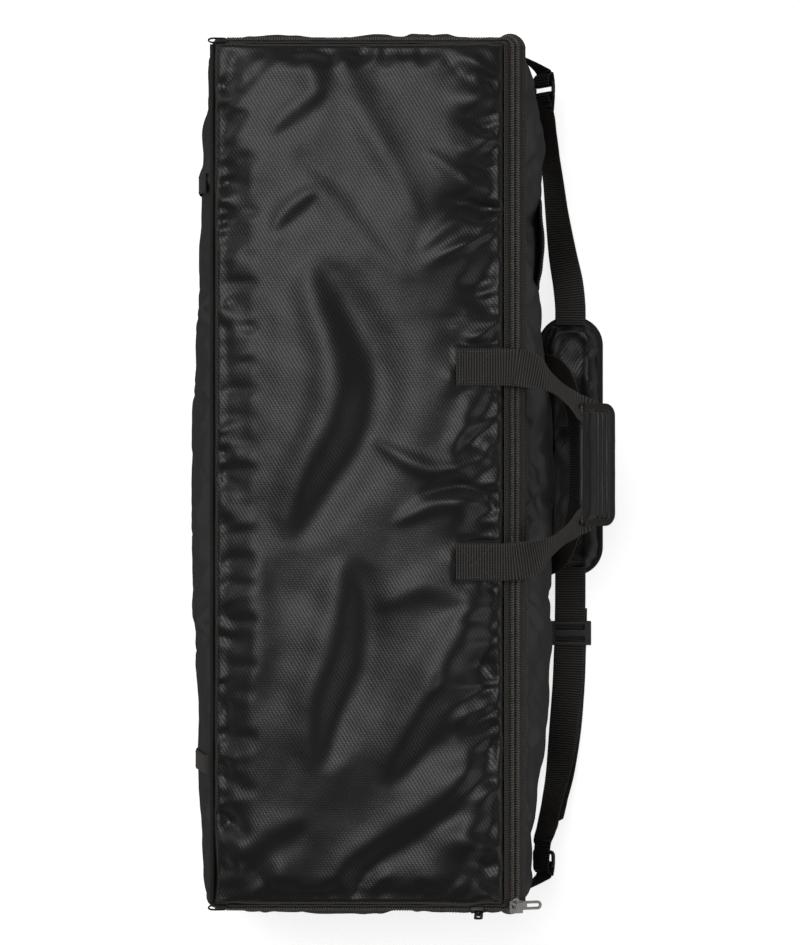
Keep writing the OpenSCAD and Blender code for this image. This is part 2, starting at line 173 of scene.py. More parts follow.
def make_piece(name: str, points: Array, faces: Sequence[Sequence[int]],
               weave: Array | None = None) -> Object:
    """Makes a smooth-shaded object at the origin.

    Args:
        name: Piece name.
        points: Vertices in mm.
        faces: Vertex numbers of each face.
        weave: Cloth coordinates of each vertex in mm.

    Returns:
        The new object.
    """
    mesh = bpy.data.meshes.new(name)
    mesh.from_pydata((np.asarray(points, float) * MM).tolist(), [], [list(map(int, f)) for f in faces])
    if weave is not None:
        layer = mesh.attributes.new("weave", "FLOAT_VECTOR", "POINT")
        layer.data.foreach_set("vector", np.asarray(weave, np.float32).ravel())
    mesh.validate()
    mesh.shade_smooth()
    obj = bpy.data.objects.new(name, mesh)
    bpy.context.scene.collection.objects.link(obj)
    return obj


def dress(obj: Object, material: Material) -> Object:
    """Gives an object one material."""
    obj.data.materials.clear()
    obj.data.materials.append(material)
    return obj


def fit(obj: Object, body: str, slot: str, *nodes: str) -> Object:
    """Makes a finished piece ride on a body.

    Args:
        obj: The piece.
        body: The CAD body that it moves with.
        slot: The record's material slot; not used.
        nodes: CAD nodes that it stands for.

    Returns:
        The same piece.
    """
    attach(obj, body)
    if nodes:
        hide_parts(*nodes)
    LOG.info("%s on %s, %d faces", obj.name, body, len(obj.data.polygons))
    return obj


def bend_across(obj: Object, bodies: tuple[str, str], start: Array, end: Array, slot: str,
                *nodes: str) -> Object:
    """Makes a finished piece bend between two bodies.

    Args:
        obj: The piece.
        bodies: The body at the start and the body at the end.
        start: Where the bend starts, in mm.
        end: Where the bend ends, in mm.
        slot: The record's material slot; not used.
        nodes: CAD nodes that it stands for.

    Returns:
        The same piece.
    """
    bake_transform(obj, bodies[0], bodies[1], start=tuple(np.array(start) * MM), end=tuple(np.array(end) * MM))
    if nodes:
        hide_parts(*nodes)
    LOG.info("%s bends between %s and %s", obj.name, *bodies)
    return obj


def ring_faces(rings: int, per_ring: int, start: int = 0, closed: bool = True) -> list[list[int]]:
    """Quads between rings of vertices that follow each other.

    Args:
        rings: How many rings there are.
        per_ring: How many vertices a ring has.
        start: Number of the first vertex.
        closed: Whether each ring joins up.

    Returns:
        The faces.
    """
    span = per_ring if closed else per_ring - 1
    return [
        [start + r * per_ring + k, start + (r + 1) * per_ring + k,
         start + (r + 1) * per_ring + (k + 1) % per_ring, start + r * per_ring + (k + 1) % per_ring]
        for r in range(rings - 1)
        for k in range(span)
    ]


def outward(obj: Object) -> Object:
    """Merges doubles and turns every face of a closed mesh outwards."""
    bm = bmesh.new()
    bm.from_mesh(obj.data)
    bmesh.ops.remove_doubles(bm, verts=bm.verts, dist=1e-6)
    bmesh.ops.recalc_face_normals(bm, faces=bm.faces)
    bm.to_mesh(obj.data)
    bm.free()
    return obj


def bake_modifiers(obj: Object) -> Object:
    """Turns the evaluated result of an object's modifiers into its plain mesh."""
    graph = bpy.context.evaluated_depsgraph_get()
    mesh = bpy.data.meshes.new_from_object(obj.evaluated_get(graph))
    obj.modifiers.clear()
    obj.data = mesh
    mesh.name = obj.name
    return obj


def tube(name: str, centre: Array, radius: float, sides: int = 12, closed: bool = False) -> Object:
    """A round tube along a line.

    Args:
        name: Piece name.
        centre: The line's points in mm.
        radius: The tube's radius in mm.
        sides: How many sides the tube has.
        closed: Whether the line joins up.

    Returns:
        The new object, with weave running round and along it.
    """
    p = np.asarray(centre, float)
    ahead = unit(np.roll(p, -1, 0) - np.roll(p, 1, 0)) if closed else unit(np.gradient(p, axis=0))
    normal = np.zeros_like(p)
    guess = np.array([0.0, 0.0, 1.0]) if abs(ahead[0][2]) < 0.9 else np.array([1.0, 0.0, 0.0])
    for k, a in enumerate(ahead):
        guess = unit(guess - (guess @ a) * a)
        normal[k] = guess
    side = np.cross(ahead, normal)
    angle = 2 * math.pi * np.arange(sides) / sides
    points = p[:, None] + radius * (np.cos(angle)[None, :, None] * normal[:, None] + np.sin(angle)[None, :,
            None] * side[:, None])
    along = np.concatenate([[0], np.cumsum(np.linalg.norm(np.diff(p, axis=0), axis=1))])
    weave = np.stack([np.broadcast_to(angle * radius, (len(p), sides)), np.broadcast_to(along[:, None],
            (len(p), sides)),
                      np.zeros((len(p), sides))], -1)
    faces = ring_faces(len(p), sides)
    last = (len(p) - 1) * sides
    if closed:
        faces += [[last + k, k, (k + 1) % sides, last + (k + 1) % sides] for k in range(sides)]
    else:
        faces += [list(range(sides)), [last + k for k in range(sides - 1, -1, -1)]]
    return outward(make_piece(name, points.reshape(-1, 3), faces, weave.reshape(-1, 3)))


# ---- finishes --------------------------------------------------------------


def linear(code: str) -> tuple[float, float, float, float]:
    """An sRGB hex colour as linear RGBA."""
    parts = [int(code[k : k + 2], 16) / 255 for k in (1, 3, 5)]
    return (*(c / 12.92 if c <= 0.04045 else ((c + 0.055) / 1.055) ** 2.4 for c in parts), 1.0)


def add_node(tree: bpy.types.NodeTree, kind: str, inputs: dict | None = None,
             **settings: object) -> bpy.types.Node:
    """Adds a node with its settings, values and links.

    Args:
        tree: The node tree.
        kind: The node's type name.
        inputs: Value or output socket for each input, by name or number.
        settings: The node's own properties.

    Returns:
        The new node.
    """
    node = tree.nodes.new(kind)
    for key, value in settings.items():
        setattr(node, key, value)
    for key, value in (inputs or {}).items():
        if isinstance(value, bpy.types.NodeSocket):
            tree.links.new(value, node.inputs[key])
        # Bound piping down the corners and round the back panel; the stitches beside the seams are laid by
        # stitches.
        else:
            node.inputs[key].default_value = value
    return node


def start_material(name: str, **values: object) -> tuple[Material, bpy.types.NodeTree, bpy.types.Node]:
    """A material with one Principled shader whose uniform values sit on its sockets.

    Args:
        name: Material name.
        values: Socket values, with spaces as underscores.

    Returns:
        The material, its tree and its shader.
    """
    material = bpy.data.materials.new(name)
    material.use_nodes = True
    tree = material.node_tree
    tree.nodes.clear()
    shader = add_node(tree, "ShaderNodeBsdfPrincipled", {k.replace("_", " "): v for k, v in values.items()})
    add_node(tree, "ShaderNodeOutputMaterial", {"Surface": shader.outputs["BSDF"]})
    return material, tree, shader


# A wave texture of scale 1 repeats every 2 pi / 20 units.
WAVE_PERIOD = 2 * math.pi / 20


@dataclass(frozen=True)
class SatinNylon:
    """Calendered nylon twill: smooth filament yarn with a low satin gloss and
    a steep diagonal rib, so flat cloth mirrors the lamp softly and folds go dark."""

    name: str = "satin_nylon_twill"
    ground: str = "#0c0b0b"
    rib: str = "#211f1e"
    roughness: float = 0.36
    # The rib and its dashes are drawn coarser than the real twill, so that they still show.
    rib_pitch_mm: float = 3.2
    rib_angle: float = 31.0
    dash_pitch_mm: float = 2.4
    rib_height_mm: float = 0.09

    def material(self) -> Material:
        """Builds the shader."""
        material, tree, shader = start_material(
            self.name, IOR=1.53, Specular_IOR_Level=0.46, Sheen_Weight=0.03, Sheen_Roughness=0.5,
            Sheen_Tint=linear("#c9c2ba"))
        cloth = add_node(tree, "ShaderNodeAttribute", attribute_name="weave").outputs["Vector"]
        turned = add_node(tree, "ShaderNodeMapping",
                          {"Vector": cloth, "Rotation": (0, 0, math.radians(-self.rib_angle))}).outputs[0]
        ribs = add_node(tree, "ShaderNodeTexWave",
                        {"Vector": turned, "Scale": WAVE_PERIOD / self.rib_pitch_mm,
                        "Distortion": 0.5, "Detail": 2.0, "Detail Scale": 1.2}, bands_direction="X")
        dashes = add_node(tree, "ShaderNodeTexWave",
                          {"Vector": cloth, "Scale": WAVE_PERIOD / self.dash_pitch_mm,
                          "Distortion": 0.8, "Detail": 1.0}, bands_direction="Y")
        body = add_node(tree, "ShaderNodeMath", {0: dashes.outputs["Fac"], 1: 0.45, 2: 0.55},
                        operation="MULTIPLY_ADD")
        height = add_node(tree, "ShaderNodeMath", {0: ribs.outputs["Fac"], 1: body.outputs[0]},
                          operation="MULTIPLY")
        worn = add_node(tree, "ShaderNodeTexNoise", {"Vector": cloth, "Scale": 0.018, "Detail": 3.0})
        tone = add_node(tree, "ShaderNodeMath", {0: height.outputs[0], 1: 0.75, 2: 0.0},
                        operation="MULTIPLY_ADD")
        tone = add_node(tree, "ShaderNodeMath", {0: worn.outputs["Fac"], 1: 0.5, 2: tone.outputs[0]},
                        operation="MULTIPLY_ADD")
        colour = add_node(tree, "ShaderNodeMix", {0: tone.outputs[0], 6: linear(self.ground),
                                                  7: linear(self.rib)}, data_type="RGBA")
        gloss = add_node(tree, "ShaderNodeMapRange", {"Value": height.outputs[0], "To Min": self.roughness
                                                      + 0.12, "To Max": self.roughness - 0.06})
        bump = add_node(tree, "ShaderNodeBump", {"Height": height.outputs[0], "Distance": self.rib_height_mm
                                                 * MM, "Strength": 1.0})
        tree.links.new(colour.outputs[2], shader.inputs["Base Color"])
        tree.links.new(gloss.outputs[0], shader.inputs["Roughness"])
        tree.links.new(bump.outputs[0], shader.inputs["Normal"])
        return material


@dataclass(frozen=True)
class RibbedNylon:
    """Woven nylon tape: matt spun yarn with ribs across it, near black and warm,
    with the rib tops painted paler as a painted highlight."""

    name: str
    ground: str = "#070606"
    lit_rib_top: str = "#5f5954"
    roughness: float = 0.62
    rib_pitch_mm: float = 2.7
    yarn_pitch_mm: float = 1.5
    rib_height_mm: float = 0.1

    def material(self) -> Material:
        """Builds the shader."""
        material, tree, shader = start_material(
            self.name, IOR=1.5, Specular_IOR_Level=0.4, Sheen_Weight=0.05, Sheen_Roughness=0.45,
            Sheen_Tint=linear("#b8ada2"))
        cloth = add_node(tree, "ShaderNodeAttribute", attribute_name="weave").outputs["Vector"]
        ribs = add_node(tree, "ShaderNodeTexWave", {"Vector": cloth, "Scale": WAVE_PERIOD / self.rib_pitch_mm,
                        "Distortion": 0.35, "Detail": 2.0}, bands_direction="Y")
        yarn = add_node(tree, "ShaderNodeTexWave",
                        {"Vector": cloth, "Scale": WAVE_PERIOD / self.yarn_pitch_mm,
                        "Distortion": 0.6, "Detail": 1.0}, bands_direction="X")
        height = add_node(tree, "ShaderNodeMath", {0: yarn.outputs["Fac"], 1: 0.35, 2: ribs.outputs["Fac"]},
                          operation="MULTIPLY_ADD")
        fuzz = add_node(tree, "ShaderNodeTexNoise", {"Vector": cloth, "Scale": 0.9, "Detail": 3.0,
                                                     "Roughness": 0.7})
        # The raised rib tops are painted paler: a painted highlight where light catches the yarn.
        raised = add_node(tree, "ShaderNodeMath", {0: height.outputs[0], 1: 2.2}, operation="POWER")
        tone = add_node(tree, "ShaderNodeMath", {0: raised.outputs[0], 1: fuzz.outputs["Fac"]},
                        operation="MULTIPLY")
        colour = add_node(tree, "ShaderNodeMix", {0: tone.outputs[0], 6: linear(self.ground),
                                                  7: linear(self.lit_rib_top)}, data_type="RGBA")
        bump = add_node(tree, "ShaderNodeBump", {"Height": height.outputs[0], "Distance": self.rib_height_mm
                                                 * MM, "Strength": 0.8})
        tree.links.new(colour.outputs[2], shader.inputs["Base Color"])
        tree.links.new(bump.outputs[0], shader.inputs["Normal"])
        shader.inputs["Roughness"].default_value = self.roughness
        return material


@dataclass(frozen=True)
class BrushedKnit:
    """Brushed tricot lining: a short dense pile that hides gloss and shows soft
    cloudy shading where it has been stroked."""

    name: str = "brushed_tricot_lining"
    ground: str = "#3a3a3c"
    stroked: str = "#57575a"
    pile_mm: float = 0.35
    loop_mm: float = 1.6

    def material(self) -> Material:
        """Builds the shader."""
        material, tree, shader = start_material(
            self.name, Roughness=0.92, IOR=1.5, Sheen_Weight=0.35, Sheen_Roughness=0.6,
            Sheen_Tint=linear("#d8d8dc"))
        place = add_node(tree, "ShaderNodeTexCoord").outputs["Object"]
        clouds = add_node(tree, "ShaderNodeTexNoise", {"Vector": place, "Scale": 1 / (60 * MM),
                                                       "Detail": 3.0})
        pile = add_node(tree, "ShaderNodeTexNoise", {"Vector": place, "Scale": 1 / (self.loop_mm * MM),
                                                     "Detail": 4.0, "Roughness": 0.75})
        colour = add_node(tree, "ShaderNodeMix", {0: clouds.outputs["Fac"], 6: linear(self.ground),
                                                  7: linear(self.stroked)}, data_type="RGBA")
        bump = add_node(tree, "ShaderNodeBump", {"Height": pile.outputs["Fac"], "Distance": self.pile_mm * MM,
                                                 "Strength": 0.7})
        tree.links.new(colour.outputs[2], shader.inputs["Base Color"])
        tree.links.new(bump.outputs[0], shader.inputs["Normal"])
        return material


@dataclass(frozen=True)
class SolidFinish:
    """A moulded, drawn or plated finish: one colour with fine handling marks.

    A plated zinc casting is bright with hazy worn patches, drawn steel wire is
    darker and even, coil nylon is glossy black and acetal has a soft moulded sheen."""

    name: str
    colour: str
    marked: str
    roughness: float
    metallic: float
    grain_mm: float
    relief_mm: float

    def material(self) -> Material:
        """Builds the shader. A metal keeps the default IOR."""
        material, tree, shader = start_material(self.name, Metallic=self.metallic)
        place = add_node(tree, "ShaderNodeTexCoord").outputs["Object"]
        grain = add_node(tree, "ShaderNodeTexNoise", {"Vector": place, "Scale": 1 / (self.grain_mm * MM),
                                                      "Detail": 4.0, "Roughness": 0.6})
        rubs = add_node(tree, "ShaderNodeTexNoise", {"Vector": place, "Scale": 1 / (9 * MM), "Detail": 2.0})
        colour = add_node(tree, "ShaderNodeMix", {0: rubs.outputs["Fac"], 6: linear(self.colour),
                                                  7: linear(self.marked)}, data_type="RGBA")
        gloss = add_node(tree, "ShaderNodeMapRange", {"Value": grain.outputs["Fac"], "To Min": self.roughness
                                                      - 0.07, "To Max": self.roughness + 0.1})
        bump = add_node(tree, "ShaderNodeBump", {"Height": grain.outputs["Fac"], "Distance": self.relief_mm
                                                 * MM, "Strength": 0.5})
        tree.links.new(colour.outputs[2], shader.inputs["Base Color"])
        tree.links.new(gloss.outputs[0], shader.inputs["Roughness"])
        tree.links.new(bump.outputs[0], shader.inputs["Normal"])
        return material


class Slot(Enum):
    """The record's material slots."""

    SHELL = "shell_nylon"
    WEBBING = "webbing_black"
    LINING = "lining_grey"
    COIL = "coil_nylon"
    ZIP_METAL = "zip_metal"
    RING_METAL = "ring_metal"
    PLASTIC = "buckle_plastic"


@dataclass
class Finishes:
    """Every material of the case, made once."""

    nylon: Material = field(init=False)
    webbing: Material = field(init=False)
    binding: Material = field(init=False)
    tape: Material = field(init=False)
    lining: Material = field(init=False)
    coil: Material = field(init=False)
    thread: Material = field(init=False)
    plated: Material = field(init=False)
    wire: Material = field(init=False)
    moulded: Material = field(init=False)

    def __post_init__(self) -> None:
        """Builds the materials."""
        self.nylon = SatinNylon().material()
        self.webbing = RibbedNylon("woven_nylon_webbing").material()
        self.binding = RibbedNylon("grosgrain_binding", ground="#120f0d", lit_rib_top="#2f2925",
                                   rib_pitch_mm=1.3).material()
        self.tape = RibbedNylon("knitted_zip_tape", ground="#1d1b19", lit_rib_top="#4d4842", roughness=0.46,
                                rib_pitch_mm=1.7, yarn_pitch_mm=1.1, rib_height_mm=0.08).material()
        self.lining = BrushedKnit().material()
        # The coil is glossy black nylon; its colour is set paler here as a painted highlight on the lit turns
        # of the coil.
        self.coil = SolidFinish("moulded_coil_nylon", "#4d4843", "#7b746c", 0.24, 0.0, 0.8, 0.01).material()
        self.thread = SolidFinish("bonded_polyester_thread", "#3b3632", "#67605a", 0.45, 0.0, 0.6,
                                  0.03).material()
        self.plated = SolidFinish("nickel_plated_zinc", "#b9b7b3", "#8f8c88", 0.26, 1.0, 0.7,
                                  0.006).material()
        self.wire = SolidFinish("black_nickel_steel_wire", "#4b4947", "#31302f", 0.3, 1.0, 0.9,
                                0.006).material()
        self.moulded = SolidFinish("moulded_acetal", "#121212", "#1e1d1c", 0.42, 0.0, 0.5, 0.02).material()


# ---- repeats ---------------------------------------------------------------


@dataclass
class Repeat:
    """A Geometry Nodes tree that lays small rounded beads along a line: stitches,
    coil turns and chain stitches. Each bead lies on the face that the line's
    "face" attribute gives, X along the line."""

    tree: bpy.types.NodeTree = field(init=False)
    sockets: dict[str, str] = field(init=False)

    def __post_init__(self) -> None:
        """Builds the tree once."""
        tree = bpy.data.node_groups.new("beads_along_a_line", "GeometryNodeTree")
        face = tree.interface
        face.new_socket("Geometry", in_out="INPUT", socket_type="NodeSocketGeometry")
        face.new_socket("Geometry", in_out="OUTPUT", socket_type="NodeSocketGeometry")
        floats = {"Pitch": 0.003, "Along": 0.002, "Across": 0.001, "Height": 0.0006, "Slant": 0.0,
                  "Unevenness": 0.0}
        self.sockets = {}
        for name, value in floats.items():
            socket = face.new_socket(name, in_out="INPUT", socket_type="NodeSocketFloat")
            socket.default_value = value
            self.sockets[name] = socket.identifier
        for name, kind in (("Seed", "NodeSocketInt"), ("Material", "NodeSocketMaterial")):
            self.sockets[name] = face.new_socket(name, in_out="INPUT", socket_type=kind).identifier
        given = add_node(tree, "NodeGroupInput").outputs
        curve = add_node(tree, "GeometryNodeMeshToCurve", {"Mesh": given["Geometry"]})
        spaced = add_node(tree, "GeometryNodeResampleCurve", {"Curve": curve.outputs[0],
                                                              "Length": given["Pitch"]}, mode="LENGTH")
        up = add_node(tree, "GeometryNodeInputNamedAttribute", {"Name": "face"}, data_type="FLOAT_VECTOR")
        tangent = add_node(tree, "GeometryNodeInputTangent")
        along = add_node(tree, "FunctionNodeAlignRotationToVector", {"Vector": tangent.outputs[0]}, axis="X")
        lying = add_node(tree, "FunctionNodeAlignRotationToVector",
                         {"Rotation": along.outputs[0], "Vector": up.outputs["Attribute"]}, axis="Z",
                         pivot_axis="X")
        tilt = add_node(tree, "FunctionNodeRandomValue", {"Seed": given["Seed"]}, data_type="FLOAT")
        spread = add_node(tree, "ShaderNodeMath", {0: tilt.outputs[1], 1: 0.5}, operation="SUBTRACT")
        angle = add_node(tree, "ShaderNodeMath", {0: spread.outputs[0], 1: given["Unevenness"],
                                                  2: given["Slant"]}, operation="MULTIPLY_ADD")
        turn = add_node(tree, "FunctionNodeAxisAngleToRotation",
                        {"Axis": (0, 0, 1), "Angle": angle.outputs[0]})
        facing = add_node(tree, "FunctionNodeRotateRotation", {0: lying.outputs[0], 1: turn.outputs[0]},
                          rotation_space="LOCAL")
        bead = add_node(tree, "GeometryNodeMeshUVSphere", {"Segments": 8, "Rings": 5, "Radius": 0.5})
        size = add_node(tree, "ShaderNodeCombineXYZ", {0: given["Along"], 1: given["Across"],
                                                       2: given["Height"]})
        shaped = add_node(tree, "GeometryNodeTransform", {"Geometry": bead.outputs[0],
                                                          "Scale": size.outputs[0]})
        laid = add_node(tree, "GeometryNodeInstanceOnPoints",
                        {"Points": spaced.outputs[0], "Instance": shaped.outputs[0],
                         "Rotation": facing.outputs[0]})
        real = add_node(tree, "GeometryNodeRealizeInstances", {"Geometry": laid.outputs[0]})
        soft = add_node(tree, "GeometryNodeSetShadeSmooth", {0: real.outputs[0]})
        done = add_node(tree, "GeometryNodeSetMaterial", {"Geometry": soft.outputs[0],
                                                          "Material": given["Material"]})
        add_node(tree, "NodeGroupOutput", {0: done.outputs[0]})
        self.tree = tree

    def lay(self, name: str, lines: Sequence[tuple[Array, Array]], material: Material, pitch: float,
            along: float,
            across: float, height: float, slant: float = 0.0, unevenness: float = 0.0,
            seed: int = 1) -> Object:
        """Lays beads along lines and returns them as one plain mesh.

        Args:
            name: Piece name.
            lines: Points in mm and the face direction at each, for every line.
            material: The beads' material.
            pitch: Distance between beads in mm.
            along: Bead length along the line in mm.
            across: Bead width in mm.
            height: Bead height in mm.
            slant: Turn of each bead on its face, in degrees.
            unevenness: How far the turn varies, in degrees.
            seed: Fixes the variation.

        Returns:
            The beads.
        """
        points, faces, edges = [], [], []
        for line, up in lines:
            first = sum(len(p) for p in points)
            edges += [(first + k, first + k + 1) for k in range(len(line) - 1)]
            points.append(np.asarray(line, float))
            faces.append(np.broadcast_to(np.asarray(up, float), points[-1].shape))
        mesh = bpy.data.meshes.new(name)
        mesh.from_pydata((np.vstack(points) * MM).tolist(), edges, [])
        layer = mesh.attributes.new("face", "FLOAT_VECTOR", "POINT")
        layer.data.foreach_set("vector", unit(np.vstack(faces)).astype(np.float32).ravel())
        obj = bpy.data.objects.new(name, mesh)
        bpy.context.scene.collection.objects.link(obj)
        modifier = obj.modifiers.new("beads", "NODES")
        modifier.node_group = self.tree
        values = {"Pitch": pitch * MM, "Along": along * MM, "Across": across * MM, "Height": height * MM,
                  "Slant": math.radians(slant), "Unevenness": math.radians(unevenness), "Seed": seed,
                  "Material": material}
        for key, value in values.items():
            modifier[self.sockets[key]] = value
        bake_modifiers(obj)
        for extra in [a.name for a in obj.data.attributes if a.name == "face"]:
            obj.data.attributes.remove(obj.data.attributes[extra])
        return obj


# ---- padded panels ---------------------------------------------------------


def swell(rest: Array, pressure: float, growth: float, cap: float) -> Array:
    """Blows up a sewn sheet held at its seams, as wadding does.

    Args:
        rest: Grid of points in mm, with its rim on the seams.
        pressure: Cloth pressure.
        growth: How much bigger the cloth is cut than the gap it spans.
        cap: The furthest a point may move, in mm.

    Returns:
        The grid after the simulation.
    """
    rows, cols = rest.shape[:2]
    obj = make_piece("swelling_sheet", rest.reshape(-1, 3), ring_faces(rows, cols, closed=False))
    seam = obj.vertex_groups.new(name="seam")
    number = np.arange(rows * cols).reshape(rows, cols)
    rim = np.concatenate([number[0], number[-1], number[1:-1, 0], number[1:-1, -1]])
    seam.add([int(n) for n in rim], 1.0, "REPLACE")
    cloth = obj.modifiers.new("cloth", "CLOTH")
    cloth.settings.quality = 4
    cloth.settings.mass = 0.3
    cloth.settings.bending_stiffness = 0.3
    cloth.settings.vertex_group_mass = "seam"
    cloth.settings.use_pressure = True
    cloth.settings.uniform_pressure_force = pressure
    cloth.settings.shrink_min = -growth
    cloth.settings.effector_weights.gravity = 0.0
    cloth.collision_settings.use_collision = False
    cloth.collision_settings.use_self_collision = False
    cloth.point_cache.frame_start, cloth.point_cache.frame_end = 1, 20
    scene = bpy.context.scene
    for step in range(1, 21):
        scene.frame_set(step)
    graph = bpy.context.evaluated_depsgraph_get()
    moved = np.array([v.co for v in obj.evaluated_get(graph).data.vertices], float).reshape(rest.shape) / MM
    scene.frame_set(1)
    bpy.data.objects.remove(obj)
    step = moved - rest
    length = np.linalg.norm(step, axis=-1, keepdims=True)
    return rest + step * np.minimum(1.0, cap / np.maximum(length, 1e-9))


def refine(grid: Array, factor: int) -> Array:
    """Cubic upsampling of a grid in both directions by a whole factor."""
    for axis in (0, 1):
        moved = np.moveaxis(grid, axis, 0)
        flat = moved.reshape(moved.shape[0], -1)
        dense = smooth_run(flat, factor)
        grid = np.moveaxis(dense.reshape((len(dense), *moved.shape[1:])), 0, axis)
    return grid


def grid_normals(grid: Array) -> Array:
    """Unit normals of a grid of points, along du x dv."""
    return unit(np.cross(np.gradient(grid, axis=0), np.gradient(grid, axis=1)))


@dataclass(frozen=True)
class Fold:
    """A soft crease in a panel, in the panel's flat coordinates in mm.

    drop is how far the cloth falls across the line to its right-hand side, lift
    is a ridge along the line, and reach is the crease's half width."""

    line: tuple[tuple[float, float], ...]
    reach: float
    drop: float = 0.0
    lift: float = 0.0

    def height(self, u: Array, v: Array) -> Array:
        """Height that the fold adds at each place."""
        step = 2.5
        run = even_run(np.c_[smooth_run(np.array(self.line), 8), np.zeros(len(self.line) * 8 - 7)][:, :3],
                       step)[:, :2]
        box = (u > run[:, 0].min() - 4 * self.reach) & (u < run[:, 0].max() + 4 * self.reach)
        box &= (v > run[:, 1].min() - 4 * self.reach) & (v < run[:, 1].max() + 4 * self.reach)
        out = np.zeros(u.shape)
        if not box.any():
            return out
        p = np.stack([u[box], v[box]], -1)
        away = p[:, None] - run[None]
        near = np.argmin((away**2).sum(-1), axis=1)
        ahead = unit(np.gradient(run, axis=0))[near]
        off = np.take_along_axis(away, near[:, None, None].repeat(2, 2), 1)[:, 0]
        side = (ahead[:, 0] * -off[:, 1] + ahead[:, 1] * off[:, 0]) / self.reach
        past = (off * ahead).sum(-1)
        taper = np.sin(np.pi * np.clip((near * step + past + self.reach) / (len(run) * step + 2 * self.reach),
                                       0, 1)) ** 0.8
        taper *= np.exp(-((past / self.reach) ** 2))
        side = side / (0.35 + 0.65 * taper)
        fall = -side * np.exp(0.5 - side**2 / 2)
        out[box] = taper * (self.drop / 2 * fall + self.lift * np.exp(-(side**2)))
        return out


@dataclass(frozen=True)
class Puckers:
    """Gathers that radiate from a sewn edge, thickest a little way in."""

    count: int
    rise: float
    width: tuple[float, float]
    length: tuple[float, float]
    seed: int

    def height(self, along: Array, depth: Array, span: float) -> Array:
        """Height that the gathers add.

        Args:
            along: Distance along the seam in mm.
            depth: Distance in from the seam in mm.
            span: The seam's length in mm.

        Returns:
            The added height.
        """
        rng = np.random.default_rng(self.seed)
        out = np.zeros(along.shape)
        for _ in range(self.count):
            s = rng.uniform(0, span)
            wide, far = rng.uniform(*self.width), rng.uniform(*self.length)
            rise = self.rise * rng.uniform(0.35, 1.0) * rng.choice([-1, 1], p=[0.45, 0.55])
            skew = rng.uniform(-0.7, 0.7)
            near = np.abs(along - s) < 4 * wide + far
            d = depth[near] / far
            side = (along[near] - s - skew * depth[near]) / (wide * (0.5 + 0.8 * d))
            out[near] += rise * np.exp(-(side**2)) * d * np.exp(1 - d) * np.exp(-((d / 2.2) ** 4))
        return out


Face = Callable[[Array, Array], Array]


